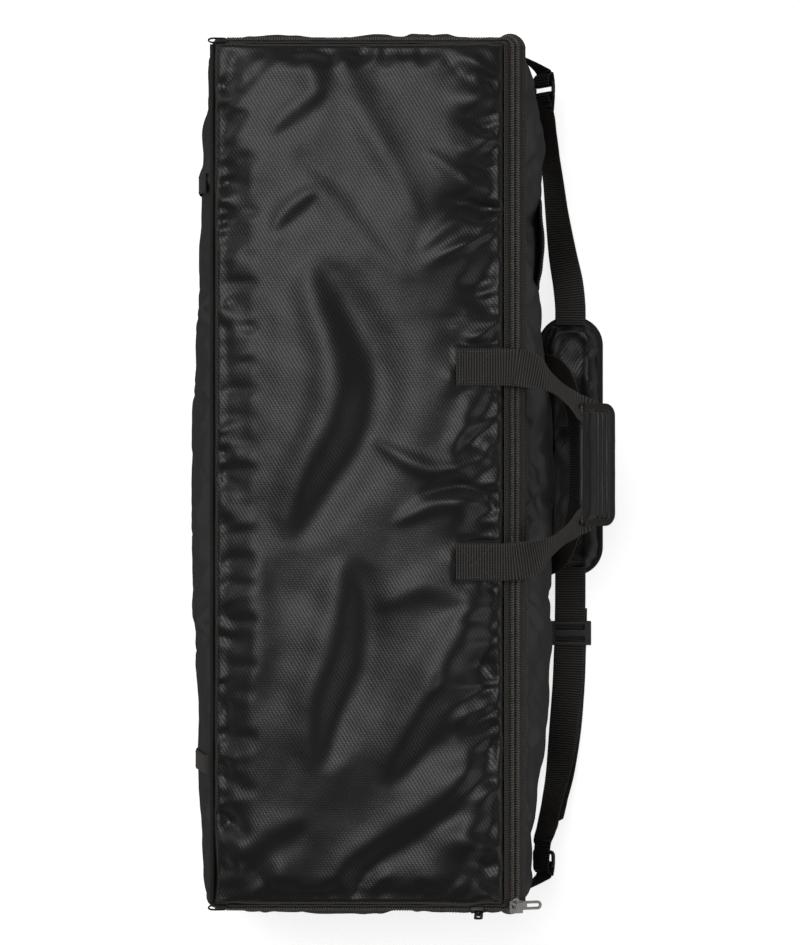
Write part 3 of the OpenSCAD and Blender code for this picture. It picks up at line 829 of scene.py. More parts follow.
@dataclass
class PaddedPanel:
    """A quilted panel: an outer cloth held at its seams over wadding, and a flat
    inner cloth. u and v run over the panel from 0 to 1."""

    name: str
    body: str
    node: str
    outer: Face
    inner: Face
    length_u: float
    length_v: float
    cell: float = 3.0
    coarse: int = 3
    pressure: float = 4.0
    growth: float = 0.01
    cap: float = 6.0
    fill: float = 0.7
    folds: tuple[Fold, ...] = ()
    gathers: dict[str, Puckers] = field(default_factory=dict)
    hills: tuple[tuple[float, float, int], ...] = ()
    shape: Callable[[Array, Array, Array, Array], Array] | None = None
    surface: Array = field(init=False)
    normals: Array = field(init=False)

    def grids(self) -> tuple[Array, Array, Array]:
        """The swollen outer grid with u and v at each of its points."""
        nu = max(2, round(self.length_u / self.cell / self.coarse))
        nv = max(2, round(self.length_v / self.cell / self.coarse))
        u, v = np.meshgrid(np.linspace(0, 1, nu + 1), np.linspace(0, 1, nv + 1), indexing="ij")
        rest = self.outer(u, v)
        shift = swell(rest, self.pressure, self.growth, self.cap) - rest
        u, v = refine(np.stack([u, v], -1), self.coarse)[..., 0], refine(np.stack([u, v], -1),
                self.coarse)[..., 1]
        return self.outer(u, v) + refine(shift, self.coarse), u, v

    def relief(self, u: Array, v: Array) -> Array:
        """Height of folds, gathers and hills over the panel."""
        x, y = u * self.length_u, v * self.length_v
        edge = np.minimum(np.minimum(x, self.length_u - x), np.minimum(y, self.length_v - y))
        out = np.zeros(u.shape)
        for size, rise, seed in self.hills:
            out += rise * wander(x, y, size, seed)
        for fold in self.folds:
            out += fold.height(x, y)
        out *= ease(edge / 22)
        sides = {"u0": (y, x, self.length_v), "u1": (y, self.length_u - x, self.length_v),
                 "v0": (x, y, self.length_u), "v1": (x, self.length_v - y, self.length_u)}
        for side, gather in self.gathers.items():
            along, depth, span = sides[side]
            out += gather.height(along, depth, span)
        return out

    def build(self, material: Material) -> Object:
        """Builds, dresses and fits the panel."""
        grid, u, v = self.grids()
        grid = grid + self.relief(u, v)[..., None] * grid_normals(grid)
        if self.shape:
            grid = self.shape(grid, grid_normals(grid), u, v)
        self.surface, self.normals = grid, grid_normals(grid)
        back = self.inner(u, v)
        rows, cols = u.shape
        number = np.arange(rows * cols).reshape(rows, cols)
        loop = np.concatenate([number[:-1, 0], number[-1, :-1], number[:0:-1, -1], number[0, :0:-1]])
        inset = np.clip(np.stack(np.unravel_index(loop, (rows, cols)), -1), 1, [rows - 2, cols - 2])
        front_rim, back_rim = grid.reshape(-1, 3)[loop], back.reshape(-1, 3)[loop]
        out = unit(front_rim - grid[inset[:, 0], inset[:, 1]])
        thick = np.linalg.norm(front_rim - back_rim, axis=1, keepdims=True)
        rings = [front_rim * (1 - t) + back_rim * t + out * np.minimum(1.4, 0.22 * thick) * math.sin(math.pi
                * t)
                 for t in (0.2, 0.5, 0.8)]
        count, total = len(loop), rows * cols
        points = np.vstack([grid.reshape(-1, 3), back.reshape(-1, 3), *rings])
        flat = np.stack([u * self.length_u, v * self.length_v, np.zeros(u.shape)], -1).reshape(-1, 3)
        weave = np.vstack([flat, flat, *([flat[loop]] * 3)])
        faces = [f[::-1] for f in ring_faces(rows, cols, closed=False)]
        faces += [[n + total for n in f[::-1]] for f in faces]
        faces = [f[::-1] for f in faces]
        bands = [loop, *(np.arange(count) + 2 * total + k * count for k in range(3)), loop + total]
        for a, b in zip(bands, bands[1:]):
            faces += [[a[k], b[k], b[(k + 1) % count], a[(k + 1) % count]] for k in range(count)]
        obj = dress(outward(make_piece(self.name, points, faces, weave)), material)
        fit(obj, self.body, Slot.SHELL.value, self.node)
        return obj

    def at(self, u: Array, v: Array, off: float = 0.0) -> tuple[Array, Array]:
        """Places on the finished outer cloth.

        Args:
            u: First coordinate, 0 to 1.
            v: Second coordinate, 0 to 1.
            off: Height above the cloth in mm.

        Returns:
            The points and the cloth's direction at each.
        """
        rows, cols = self.surface.shape[:2]
        a, b = np.clip(u, 0, 1) * (rows - 1), np.clip(v, 0, 1) * (cols - 1)
        i, j = np.minimum(a.astype(int), rows - 2), np.minimum(b.astype(int), cols - 2)
        s, t = (a - i)[..., None], (b - j)[..., None]

        def mix(g: Array) -> Array:
            """A grid's value at each point, blended from the four corners round it."""
            return (g[i, j] * (1 - s) * (1 - t) + g[i + 1, j] * s * (1 - t) + g[i, j + 1] * (1 - s) * t
                    + g[i + 1, j + 1] * s * t)

        up = unit(mix(self.normals))
        return mix(self.surface) + up * off, up

    def seam_line(self, side: str, inset: float, step: float = 4.0, ends: float = 4.0) -> tuple[Array, Array]:
        """A line beside one edge of the panel, for a row of stitches.

        Args:
            side: u0, u1, v0 or v1.
            inset: Distance in from the edge in mm.
            step: Distance between points in mm.
            ends: What is left bare at each end in mm.

        Returns:
            The points and the cloth's direction at each.
        """
        span, across = (self.length_v, self.length_u) if side[0] == "u" else (self.length_u, self.length_v)
        run = np.linspace(ends / span, 1 - ends / span, max(2, int(span / step)))
        fixed = np.full(run.shape, inset / across if side[1] == "0" else 1 - inset / across)
        return self.at(fixed, run, 0.1) if side[0] == "u" else self.at(run, fixed, 0.1)


# ---- webbing ---------------------------------------------------------------


@dataclass
class Webbing:
    """Flat woven webbing along a run of places and width directions, with
    cross ribs and rounded selvedges."""

    rows: Array
    width: float
    thickness: float
    rib_pitch: float = 2.7
    rib_rise: float = 0.32
    rise: float = 0.0
    stations_per_rib: int = 4
    run: Array = field(init=False)
    across: Array = field(init=False)
    facing: Array = field(init=False)

    def __post_init__(self) -> None:
        """Spaces the stations and turns the frame along the run."""
        dense = even_run(smooth_run(np.array(self.rows, float)), self.rib_pitch / self.stations_per_rib)
        centre = dense[:, :3]
        ahead = unit(np.gradient(centre, axis=0))
        wide = dense[:, 3:6]
        self.across = unit(wide - (wide * ahead).sum(1, keepdims=True) * ahead)
        self.facing = unit(np.cross(ahead, self.across))
        self.run = centre + self.rise * self.facing

    def build(self, name: str) -> Object:
        """Builds the webbing as one closed mesh."""
        reach = np.array([-1, -0.985, -0.93, -0.8, -0.4, 0, 0.4, 0.8, 0.93, 0.985, 1.0])
        edge = np.array([0, 0.55, 0.9, 1, 1, 1, 1, 1, 0.9, 0.55, 0.0])
        ribbed = np.array([0, 0, 0.2, 1, 1, 1, 1, 1, 0.2, 0, 0.0])
        along = np.concatenate([[0], np.cumsum(np.linalg.norm(np.diff(self.run, axis=0), axis=1))])
        rib = -self.rib_rise * np.cos(2 * math.pi * along / self.rib_pitch)
        half = self.thickness / 2 - self.rib_rise
        ends = ease(np.minimum(along, along[-1] - along) / 0.8 + 0.35)
        wave = 0.25 * np.sin(along / 31.0) * np.sin(along / 12.3 + 1)
        def skin(side: float) -> Array:
            """One face of the webbing, the upper one for 1 and the lower one for -1."""
            off = side * (edge[None] * half + ribbed[None] * rib[:, None] * side) * ends[:, None]
            return (self.run[:, None] + self.across[:, None] * (reach[None, :, None] * self.width / 2
                                                                + wave[:, None, None] * 0.4)
                    + self.facing[:, None] * off[..., None])
        top, low = skin(1.0), skin(-1.0)
        points = np.concatenate([top, low[:, -2:0:-1]], axis=1)
        offset = np.concatenate([reach, reach[-2:0:-1]]) * self.width / 2
        per = points.shape[1]
        weave = np.stack([np.broadcast_to(offset, (len(along), per)), np.broadcast_to(along[:, None],
                (len(along), per)),
                          np.zeros((len(along), per))], -1)
        faces = ring_faces(len(along), per)
        last = (len(along) - 1) * per
        n = len(reach)
        for start, flip in ((0, False), (last, True)):
            upper = [start + k for k in range(n)]
            lower = [start] + [start + per - k for k in range(1, n - 1)] + [start + n - 1]
            for k in range(n - 1):
                quad = list(dict.fromkeys([upper[k], upper[k + 1], lower[k + 1], lower[k]]))
                faces.append(quad[::-1] if flip else quad)
        return outward(make_piece(name, points.reshape(-1, 3), faces, weave.reshape(-1, 3)))

    def edge_line(self, share: float, start: float = 0.0, end: float = 1.0, side: float = 1.0) -> tuple[Array,
            Array]:
        """A line along the webbing for stitches.

        Args:
            share: Where across the webbing, from -1 to 1.
            start: Share of the run where the line starts.
            end: Share of the run where it ends.
            side: 1 for the upper face and -1 for the lower one.

        Returns:
            The points and the face direction at each.
        """
        a, b = int(start * (len(self.run) - 1)), int(end * (len(self.run) - 1)) + 1
        pick = slice(a, b, self.stations_per_rib)
        up = self.facing[pick] * side
        return self.run[pick] + self.across[pick] * share * self.width / 2 + up * (self.thickness / 2), up


def box_stitch(corner: Array, along: Array, across: Array) -> list[tuple[Array, Array]]:
    """A sewn box with a cross in it.

    Args:
        corner: One corner of the box in mm.
        along: One side as a vector in mm.
        across: The other side as a vector in mm.

    Returns:
        Lines with the face direction for each.
    """
    corner, along, across = (np.asarray(x, float) for x in (corner, along, across))
    up = unit(np.cross(along, across))
    up = up * (1 if up[2] >= 0 and abs(up[2]) > 0.3 else (1 if up @ np.array([1, 0, 0]) > 0 else -1))
    spots = [corner, corner + along, corner + along + across, corner + across]
    pairs = [(0, 1), (1, 2), (2, 3), (3, 0), (0, 2), (1, 3)]
    return [(np.linspace(spots[a], spots[b], 12), np.broadcast_to(up, (12, 3))) for a, b in pairs]


# ---- hardware --------------------------------------------------------------


def rounded_copy(name: str, node: str, bevel: float, material: Material) -> Object:
    """A copy of a hard CAD node with its flat faces joined and its edges eased.

    Args:
        name: Piece name.
        node: The CAD node.
        bevel: Radius of the eased edges in mm.
        material: The piece's material.

    Returns:
        The new piece.
    """
    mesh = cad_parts[node].data.copy()
    mesh.name = name
    bm = bmesh.new()
    bm.from_mesh(mesh)
    bmesh.ops.remove_doubles(bm, verts=bm.verts, dist=2e-6)
    bmesh.ops.recalc_face_normals(bm, faces=bm.faces)
    bmesh.ops.dissolve_limit(bm, angle_limit=math.radians(2), verts=bm.verts, edges=bm.edges)
    bm.to_mesh(mesh)
    bm.free()
    obj = bpy.data.objects.new(name, mesh)
    bpy.context.scene.collection.objects.link(obj)
    modifier = obj.modifiers.new("eased", "BEVEL")
    modifier.width, modifier.segments, modifier.limit_method = bevel * MM, 2, "ANGLE"
    modifier.angle_limit = math.radians(35)
    modifier.harden_normals = False
    bake_modifiers(obj)
    obj.data.shade_smooth()
    smooth = obj.modifiers.new("flats", "WEIGHTED_NORMAL")
    smooth.keep_sharp = True
    bake_modifiers(obj)
    return dress(obj, material)


# ---- the case --------------------------------------------------------------

HALF_W, HALF_L, WALL_Z0, WALL_H = 157.5, 443.5, 12.3, 261.0
INNER_W, INNER_L = 145.5, 431.5
LID_X0, LID_X1, LID_L, LID_Z = -157.4, 134.0, 436.0, 262.5
BODY_CASE, BODY_LID, BODY_STRAP = "case", "lid", "shoulder_strap"


def right_swell(y: Array) -> Array:
    """Outward swell of the wall with the handles along its length."""
    return 28 * hump(0.5 + y / (2 * HALF_L), 0.5) - 13 * bell(y, 205, 85) - 9 * bell(y, -350, 55)


def left_swell(y: Array) -> Array:
    """Outward swell of the hinged wall along its length."""
    return 26 * hump(0.5 + (y + 40) / (2 * HALF_L + 90), 0.9)


def wall_top(y: Array) -> Array:
    """Top edge of a side wall, which drops where the zip turns the corner."""
    return WALL_H - 11 * (np.maximum(0, (np.abs(y) - 415) / (HALF_L - 415))) ** 2


def right_seam(y: Array) -> Array:
    """Where the seams of the wall with the handles lie."""
    return HALF_W - 8 * (np.abs(y) / HALF_L) ** 14


def push_flat(place: Array, up: Array, centre: Array, facing: Array, half: tuple[float, float],
              off: float) -> Array:
    """Presses cloth flat under something sewn to it.

    Args:
        place: Points of the cloth in mm.
        up: The direction in which the cloth may move.
        centre: Middle of what is sewn on.
        facing: Its face direction.
        half: Half its size along Y and across it.
        off: How far its lower face lies from the middle.

    Returns:
        The pressed points.
    """
    facing = unit(np.asarray(facing, float))
    away = place - np.asarray(centre, float)
    side = np.cross([0, 1, 0], facing)
    mask = ease((half[0] + 5 - np.abs(away[..., 1])) / 7) * ease((half[1] + 5 - np.abs(away @ side)) / 7)
    gap = (away @ facing) + off
    return place - (mask * gap / np.maximum(up @ facing, 0.4))[..., None] * up


@dataclass
class Shell:
    """The padded box: back panel, four walls, their linings and edge seams."""

    finishes: Finishes
    repeat: Repeat
    panels: dict[str, PaddedPanel] = field(default_factory=dict)

    def right_wall(self) -> PaddedPanel:
        """The bulging wall that carries the rear handle and the pocket."""
        def outer(u: Array, v: Array) -> Array:
            """The cloth's face, which bellies out between its seams."""
            y = (2 * u - 1) * HALF_L
            return np.stack([right_seam(y) + right_swell(y) * hump(v, 0.8), y,
                             WALL_Z0 + v * (wall_top(y) - WALL_Z0)], -1)

        def inner(u: Array, v: Array) -> Array:
            """The face against the lining, behind the belly.

            Args:
                u: Share of the way along the panel, 0 to 1.
                v: Share of the way across it, 0 to 1.

            Returns:
                Points in millimetres.
            """
            p = outer(u, v)
            p[..., 0] = INNER_W + np.maximum(0, p[..., 0] - HALF_W - 2)
            return p

        def sewn(grid: Array, up: Array, u: Array, v: Array) -> Array:
            """Flatten the cloth under the rear handle's two sewn ends.

            Args:
                grid: Points of the panel's outer face, in millimetres.
                up: The normals at those points.
                u: Share of the way along the panel, 0 to 1; not used.
                v: Share of the way across it, 0 to 1; not used.

            Returns:
                The changed points.
            """
            facing = (math.cos(math.radians(13)), 0, -math.sin(math.radians(13)))
            for y in (108.0, -89.0):
                grid = push_flat(grid, up, (176.7, y, 56), facing, (19, 21), 1.4)
            return grid

        return PaddedPanel(
            "right_wall_quilt", BODY_CASE, "right_wall", outer, inner, 2 * HALF_L, 262, cell=3.4,
            growth=0.012, cap=4,
            gathers={"v1": Puckers(74, 3.0, (4, 11), (14, 46), 11), "v0": Puckers(60, 2.6, (5, 13), (14, 44),
                    12),
                     "u0": Puckers(16, 2.2, (5, 11), (14, 30), 13), "u1": Puckers(16, 2.2, (5, 11), (14, 30),
                             14)},
            hills=((90, 1.6, 21), (34, 0.7, 22), (13, 0.16, 23)), shape=sewn,
            folds=(Fold(((560, 250), (600, 190), (640, 120)), 14, drop=4),
                   Fold(((330, 250), (310, 180), (260, 110)), 14, drop=-4),
                   Fold(((120, 240), (90, 170), (60, 110)), 12, drop=5),
                   Fold(((800, 240), (770, 160), (790, 90)), 13, drop=4)))

    def left_wall(self) -> PaddedPanel:
        """The hinged wall."""
        def outer(u: Array, v: Array) -> Array:
            """The cloth's face, which bellies out between its seams."""
            y = (1 - 2 * u) * HALF_L
            return np.stack([-(HALF_W + left_swell(y) * hump(v, 0.8)), y,
                             WALL_Z0 + v * (wall_top(y) - WALL_Z0)], -1)

        def inner(u: Array, v: Array) -> Array:
            """The face against the lining, behind the belly.

            Args:
                u: Share of the way along the panel, 0 to 1.
                v: Share of the way across it, 0 to 1.

            Returns:
                Points in millimetres.
            """
            p = outer(u, v)
            p[..., 0] = -(INNER_W + np.maximum(0, -p[..., 0] - HALF_W - 2))
            return p

        return PaddedPanel(
            "left_wall_quilt", BODY_CASE, "left_wall", outer, inner, 2 * HALF_L, 262, cell=3.4, growth=0.012,
            cap=4,
            gathers={"v1": Puckers(78, 3.2, (4, 11), (14, 46), 31), "v0": Puckers(60, 2.6, (5, 13), (14, 44),
                    32),
                     "u0": Puckers(16, 2.2, (5, 11), (14, 30), 33), "u1": Puckers(16, 2.2, (5, 11), (14, 30),
                             34)},
            hills=((90, 1.6, 41), (34, 0.7, 42), (13, 0.16, 43)),
            folds=(Fold(((250, 240), (290, 170), (300, 90)), 13, drop=4),
                   Fold(((620, 230), (590, 150), (620, 80)), 14, drop=-4)))

    def end_wall(self, sign: float) -> PaddedPanel:
        """A short wall at +Y or -Y."""
        wide, top = INNER_W - 0.3, 246.88

        def outer(u: Array, v: Array) -> Array:
            """The cloth's face, which bellies out between its seams."""
            return np.stack([sign * (2 * v - 1) * wide, sign * (HALF_L + 7 * hump(u, 0.6) * hump(v, 0.5)),
                             WALL_Z0 + u * (top - WALL_Z0)], -1)

        def inner(u: Array, v: Array) -> Array:
            """The face against the lining, behind the belly.

            Args:
                u: Share of the way along the panel, 0 to 1.
                v: Share of the way across it, 0 to 1.

            Returns:
                Points in millimetres.
            """
            p = outer(u, v)
            p[..., 1] = sign * (INNER_L + np.maximum(0, np.abs(p[..., 1]) - HALF_L - 2))
            return p

        def sewn(grid: Array, up: Array, u: Array, v: Array) -> Array:
            """Keep the cloth behind what is sewn over it."""
            grid[..., 1] = sign * np.minimum(np.abs(grid[..., 1]), HALF_L + 7.4)
            return grid

        name = "top_end" if sign > 0 else "bottom_end"
        return PaddedPanel(
            name + "_quilt", BODY_CASE, name + "_wall", outer, inner, top - WALL_Z0, 2 * wide, cell=3.0,
            growth=0.01, cap=2,
            gathers={k: Puckers(22, 2.0, (4, 10), (12, 34), 50 + n + int(5 * sign)) for n,
                     k in enumerate(("u0", "u1", "v0", "v1"))},
            hills=((60, 0.9, 61), (24, 0.4, 62)), shape=sewn)

    def back(self) -> PaddedPanel:
        """The back panel that the case lies on."""
        def outer(u: Array, v: Array) -> Array:
            """The face under the case, rounded up towards its seams.

            Args:
                u: Share of the way along the panel, 0 to 1.
                v: Share of the way across it, 0 to 1.

            Returns:
                Points in millimetres.
            """
            y, x = (2 * u - 1) * 442, (2 * v - 1) * 156
            edge = np.minimum(442 - np.abs(y), 156 - np.abs(x))
            return np.stack([x, y, 4.0 * (1 - ease(edge / 16)) ** 1.5], -1)

        def inner(u: Array, v: Array) -> Array:
            """The flat face inside the case."""
            return np.stack([(2 * v - 1) * 156, (2 * u - 1) * 442, np.full(u.shape, 12.0)], -1)

        def resting(grid: Array, up: Array, u: Array, v: Array) -> Array:
            """Keep the cloth on or above the floor."""
            grid[..., 2] = np.maximum(grid[..., 2], 0.0)
            return grid

        return PaddedPanel("back_quilt", BODY_CASE, "back_panel", outer, inner, 884, 312, cell=4.0,
                           pressure=0.5, growth=0.0, cap=1,
                           fill=0.5, shape=resting,
                           gathers={k: Puckers(n, 1.6, (5, 12), (10, 26), 70 + i) for i, (k, n) in
                                    enumerate((("u0", 18), ("u1", 18), ("v0", 55), ("v1", 55)))})

    def lining(self) -> None:
        """The open lining box with quilted sides and a rolled rim."""
        w, l, z0, top, r = INNER_W - 0.5, INNER_L - 0.5, 12.6, 256.0, 10.0
        outline = []
        for cx, cy, a0 in ((w - r, l - r, 0), (-w + r, l - r, 90), (-w + r, -l + r, 180),
                           (w - r, -l + r, 270)):
            for a in np.radians(np.linspace(a0, a0 + 90, 7)):
                outline.append((cx + r * math.cos(a), cy + r * math.sin(a), 0.0))
        loop = even_run(np.array([*outline, outline[0]]), 6.0)[:-1]
        inward = -unit(np.c_[np.gradient(loop[:, 1]), -np.gradient(loop[:, 0]), np.zeros(len(loop))])
        heights = np.linspace(0, 1, 34)
        rings = []
        for t in heights:
            z = z0 + 3 + t * (top - z0 - 3)
            channel = 1.4 * abs(math.sin(math.pi * t * 4)) ** 0.6
            rings.append(loop + inward * (1.6 + channel - 1.6 * max(0.0, t - 0.94) / 0.06) + [0, 0, z])
        rings.append(loop + inward * 0.2 + [0, 0, top + 0.8])
        rings.append(loop + [0, 0, top - 1.0])
        for t in heights[::-1]:
            rings.append(loop + [0, 0, z0 + t * (top - z0 - 2)])
        per = len(loop)
        points = np.vstack(rings)
        faces = ring_faces(len(rings), per)
        def floor_of(ring: int, z: float, first: int) -> tuple[Array, list[list[int]]]:
            """A flat floor of shrinking rings that closes one ring of the lining.

            Args:
                ring: Number of the ring that it closes.
                z: Height of the floor, in millimetres.
                first: Number of the floor's first point.

            Returns:
                The floor's points and its faces.
            """
            base = rings[ring]
            mid = base.mean(0)
            extra, quads, previous = [], [], list(range(ring * per, ring * per + per))
            for n, share in enumerate((0.9, 0.7, 0.45, 0.2)):
                extra.append(np.c_[(base * share + mid * (1 - share))[:, :2], np.full(per, z)])
                now = list(range(first + n * per, first + (n + 1) * per))
                quads += [[previous[k], previous[(k + 1) % per], now[(k + 1) % per], now[k]]
                          for k in range(per)]
                previous = now
            quads.append(previous)
            return np.vstack(extra), quads
        low, low_faces = floor_of(0, z0 + 3.0, len(points))
        under, under_faces = floor_of(len(rings) - 1, z0, len(points) + len(low))
        obj = outward(make_piece("case_lining_knit", np.vstack([points, low, under]), faces + low_faces
                                 + under_faces))
        fit(dress(obj, self.finishes.lining), BODY_CASE, Slot.LINING.value, "case_lining")

    def edge_seams(self) -> None:
        """Bound piping down the corners and round the back panel, with stitches beside it."""
        lines: dict[str, Array] = {}
        for sx in (-1, 1):
            for sy in (-1, 1):
                x = (149.8 if sx > 0 else 157.2) * sx
                z = np.linspace(13, 249, 60)
                lines[f"corner_piping_{'r' if sx > 0 else 'l'}{'t' if sy > 0 else 'b'}"] = np.stack(
                    [x + 0.4 * np.sin(z / 17), sy * (443.6 + 0.3 * np.sin(z / 23)), z], -1)
        y = np.linspace(-443.2, 443.2, 300)
        right = np.stack([right_seam(y) + 0.2, y, 12 + 0.3 * np.sin(y / 19)], -1)
        left = np.stack([np.full(y.shape, -157.2), -y, 12 + 0.3 * np.sin(y / 21)], -1)
        x = np.linspace(149.3, -156.8, 100)[1:-1]
        top = np.stack([x, np.full(x.shape, 443.4), np.full(x.shape, 12.0)], -1)
        lines["base_piping"] = np.vstack([right, top, left, top[::-1] * [1, -1, 1]])
        for name, line in lines.items():
            obj = tube(name, line, 1.7, 10, closed=name == "base_piping")
            fit(dress(obj, self.finishes.binding), BODY_CASE, Slot.WEBBING.value)

    def stitches(self) -> None:
        """Rows of top stitching beside the seams of the walls."""
        rows = []
        for key in ("right", "left"):
            rows += [self.panels[key].seam_line("v1", 3.5), self.panels[key].seam_line("v0", 5.0)]
        for key in ("top", "bottom"):
            rows += [self.panels[key].seam_line("v0", 4.0), self.panels[key].seam_line("v1", 4.0)]
        obj = self.repeat.lay("wall_stitches", rows, self.finishes.thread, 3.4, 2.6, 0.75, 0.6, 0, 6, 3)
        fit(obj, BODY_CASE, Slot.WEBBING.value)

    def build(self) -> None:
        """Builds the box in order."""
        self.panels = {"right": self.right_wall(), "left": self.left_wall(), "top": self.end_wall(1.0),
                       "bottom": self.end_wall(-1.0),
                       "back": self.back()}
        for panel in self.panels.values():
            panel.build(self.finishes.nylon)
        self.lining()
        self.edge_seams()
        self.stitches()


LID_FOLDS = (
    Fold(((84, 387), (105, 432), (131, 479), (142, 525), (129, 579), (107, 631)), 25, drop=14),
    Fold(((107, 154), (115, 203), (132, 250), (138, 291), (136, 332)), 21, drop=11),
    Fold(((182, 136), (213, 181), (247, 236), (270, 280), (282, 322)), 21, drop=13),
    Fold(((113, 8), (138, 36), (185, 67), (234, 100), (268, 136), (283, 162)), 14, drop=6),
    Fold(((203, 703), (167, 770), (136, 826), (108, 860)), 17, lift=3),
    Fold(((189, 638), (151, 682), (120, 713), (98, 718), (84, 703), (64, 677)), 16, lift=1.4),
    Fold(((182, 654), (151, 696), (125, 729), (89, 754)), 14, lift=-1.6),
    Fold(((218, 759), (259, 729), (290, 703)), 10, lift=3),
    Fold(((213, 667), (244, 692), (270, 685), (290, 672)), 10, lift=3),
    Fold(((167, 466), (198, 448), (228, 440), (265, 448), (288, 471)), 10, lift=4),
    Fold(((187, 389), (218, 404), (244, 409), (285, 404)), 10, lift=3.5),
    Fold(((213, 417), (244, 425), (280, 432)), 9, lift=-4),
    Fold(((244, 456), (265, 492), (280, 517)), 10, drop=5),
    Fold(((62, 782), (84, 799), (107, 817)), 9, drop=2.5),
    Fold(((64, 685), (81, 702), (99, 716)), 8, drop=3),
    Fold(((33, 203), (45, 265), (41, 347)), 18, lift=3),
    Fold(((22, 18), (45, 54), (84, 80)), 14, drop=4),
    Fold(((53, 461), (69, 533), (64, 595)), 20, lift=2.5),
    Fold(((172, 306), (208, 322), (244, 317)), 14, lift=3),
    Fold(((259, 18), (270, 49), (282, 80)), 10, lift=-3),
)


@dataclass
class Lid:
    """The padded lid, its lining and the seam round it."""

    finishes: Finishes
    repeat: Repeat
    rise: float = 9.0
    panel: PaddedPanel = field(init=False)

    def build(self) -> None:
        """Builds the lid's quilt, lining and stitches."""
        wide = LID_X1 - LID_X0

        def outer(u: Array, v: Array) -> Array:
            """The cloth's face, crowned between its seams."""
            z = 270.6 + (self.rise + 1.4) * hump(u, 0.26) * hump(v, 0.2)
            return np.stack([LID_X0 + u * wide, (2 * v - 1) * LID_L, z], -1)

        def inner(u: Array, v: Array) -> Array:
            """The flat face against the lining."""
            return np.stack([LID_X0 + u * wide, (2 * v - 1) * LID_L, np.full(u.shape, LID_Z)], -1)

        def sewn(grid: Array, up: Array, u: Array, v: Array) -> Array:
            """Hold the crown within its height and flatten it under the front handle's sewn ends.

            Args:
                grid: Points of the panel's outer face, in millimetres.
                up: The normals at those points.
                u: Share of the way along the panel, 0 to 1; not used.
                v: Share of the way across it, 0 to 1; not used.

            Returns:
                The changed points.
            """
            grid[..., 2] = np.clip(grid[..., 2], 266.0, 291.0)
            facing = (math.sin(math.radians(5)), 0, math.cos(math.radians(5)))
            for y in (108.0, -89.0):
                grid = push_flat(grid, up, (107, y, 282), facing, (19, 21), 1.3)
            return grid

        self.panel = PaddedPanel(
            "lid_quilt", BODY_LID, "lid_panel", outer, inner, wide, 2 * LID_L, cell=3.0, pressure=3.0,
            growth=0.006, cap=3,
            folds=LID_FOLDS, shape=sewn, hills=((90, 1.3, 1), (34, 0.35, 2), (12, 0.08, 3)),
            gathers={"u0": Puckers(120, 2.0, (3, 8), (6, 17), 4), "u1": Puckers(96, 3.6, (4, 11), (9, 36), 5),
                     "v0": Puckers(26, 2.0, (6, 14), (12, 34), 6), "v1": Puckers(26, 1.8, (6, 14), (12, 34),
                             7)})
        self.panel.build(self.finishes.nylon)
        self.lining()
        rows = [self.panel.seam_line("u0", 3.0, 3.0), self.panel.seam_line("v0", 3.0, 3.0),
                self.panel.seam_line("v1", 3.0, 3.0)]
        fit(self.repeat.lay("lid_stitches", rows, self.finishes.thread, 3.4, 2.6, 0.75, 0.6, 0, 6, 8),
            BODY_LID, Slot.WEBBING.value)

    def lining(self) -> None:
        """The knit lining under the lid, quilted in diamonds."""
        x0, x1, l = -INNER_W + 3, LID_X1 - 3, INNER_L - 3
        def low(u: Array, v: Array) -> Array:
            """The lining's lower face, quilted in diamonds.

            Args:
                u: Share of the way along the panel, 0 to 1.
                v: Share of the way across it, 0 to 1.

            Returns:
                Points in millimetres.
            """
            x, y = x0 + u * (x1 - x0), (2 * v - 1) * l
            edge = np.minimum(np.minimum(x - x0, x1 - x), l - np.abs(y))
            quilting = np.minimum(np.abs(np.sin(math.pi * (x + y) / 90)),
                                  np.abs(np.sin(math.pi * (x - y) / 90))) ** 0.5
            return np.stack([x, y, 261.9 - 0.9 * quilting * ease(edge / 12)], -1)
        u, v = np.meshgrid(np.linspace(0, 1, 61), np.linspace(0, 1, 181), indexing="ij")
        bottom = low(u, v)
        top = bottom * [1, 1, 0] + [0, 0, 262.5]
        rows, cols = u.shape
        number = np.arange(rows * cols).reshape(rows, cols)
        loop = np.concatenate([number[:-1, 0], number[-1, :-1], number[:0:-1, -1], number[0, :0:-1]])
        total = rows * cols
        faces = ring_faces(rows, cols, closed=False)
        faces += [[n + total for n in f[::-1]] for f in faces]
        faces += [[loop[k], loop[(k + 1) % len(loop)], loop[(k + 1) % len(loop)] + total, loop[k] + total]
                  for k in range(len(loop))]
        obj = outward(make_piece("lid_lining_knit", np.vstack([bottom.reshape(-1, 3), top.reshape(-1, 3)]),
                                 faces))
        fit(dress(obj, self.finishes.lining), BODY_LID, Slot.LINING.value, "lid_lining")


# ---- zip -------------------------------------------------------------------

ZIP_X, ZIP_Y, ZIP_Z, ZIP_R, ZIP_START = 135.0, 436.8, 270.0, 3.0, -145.0
SIDE_SLOPE, END_SLOPE = 20.0, 72.0


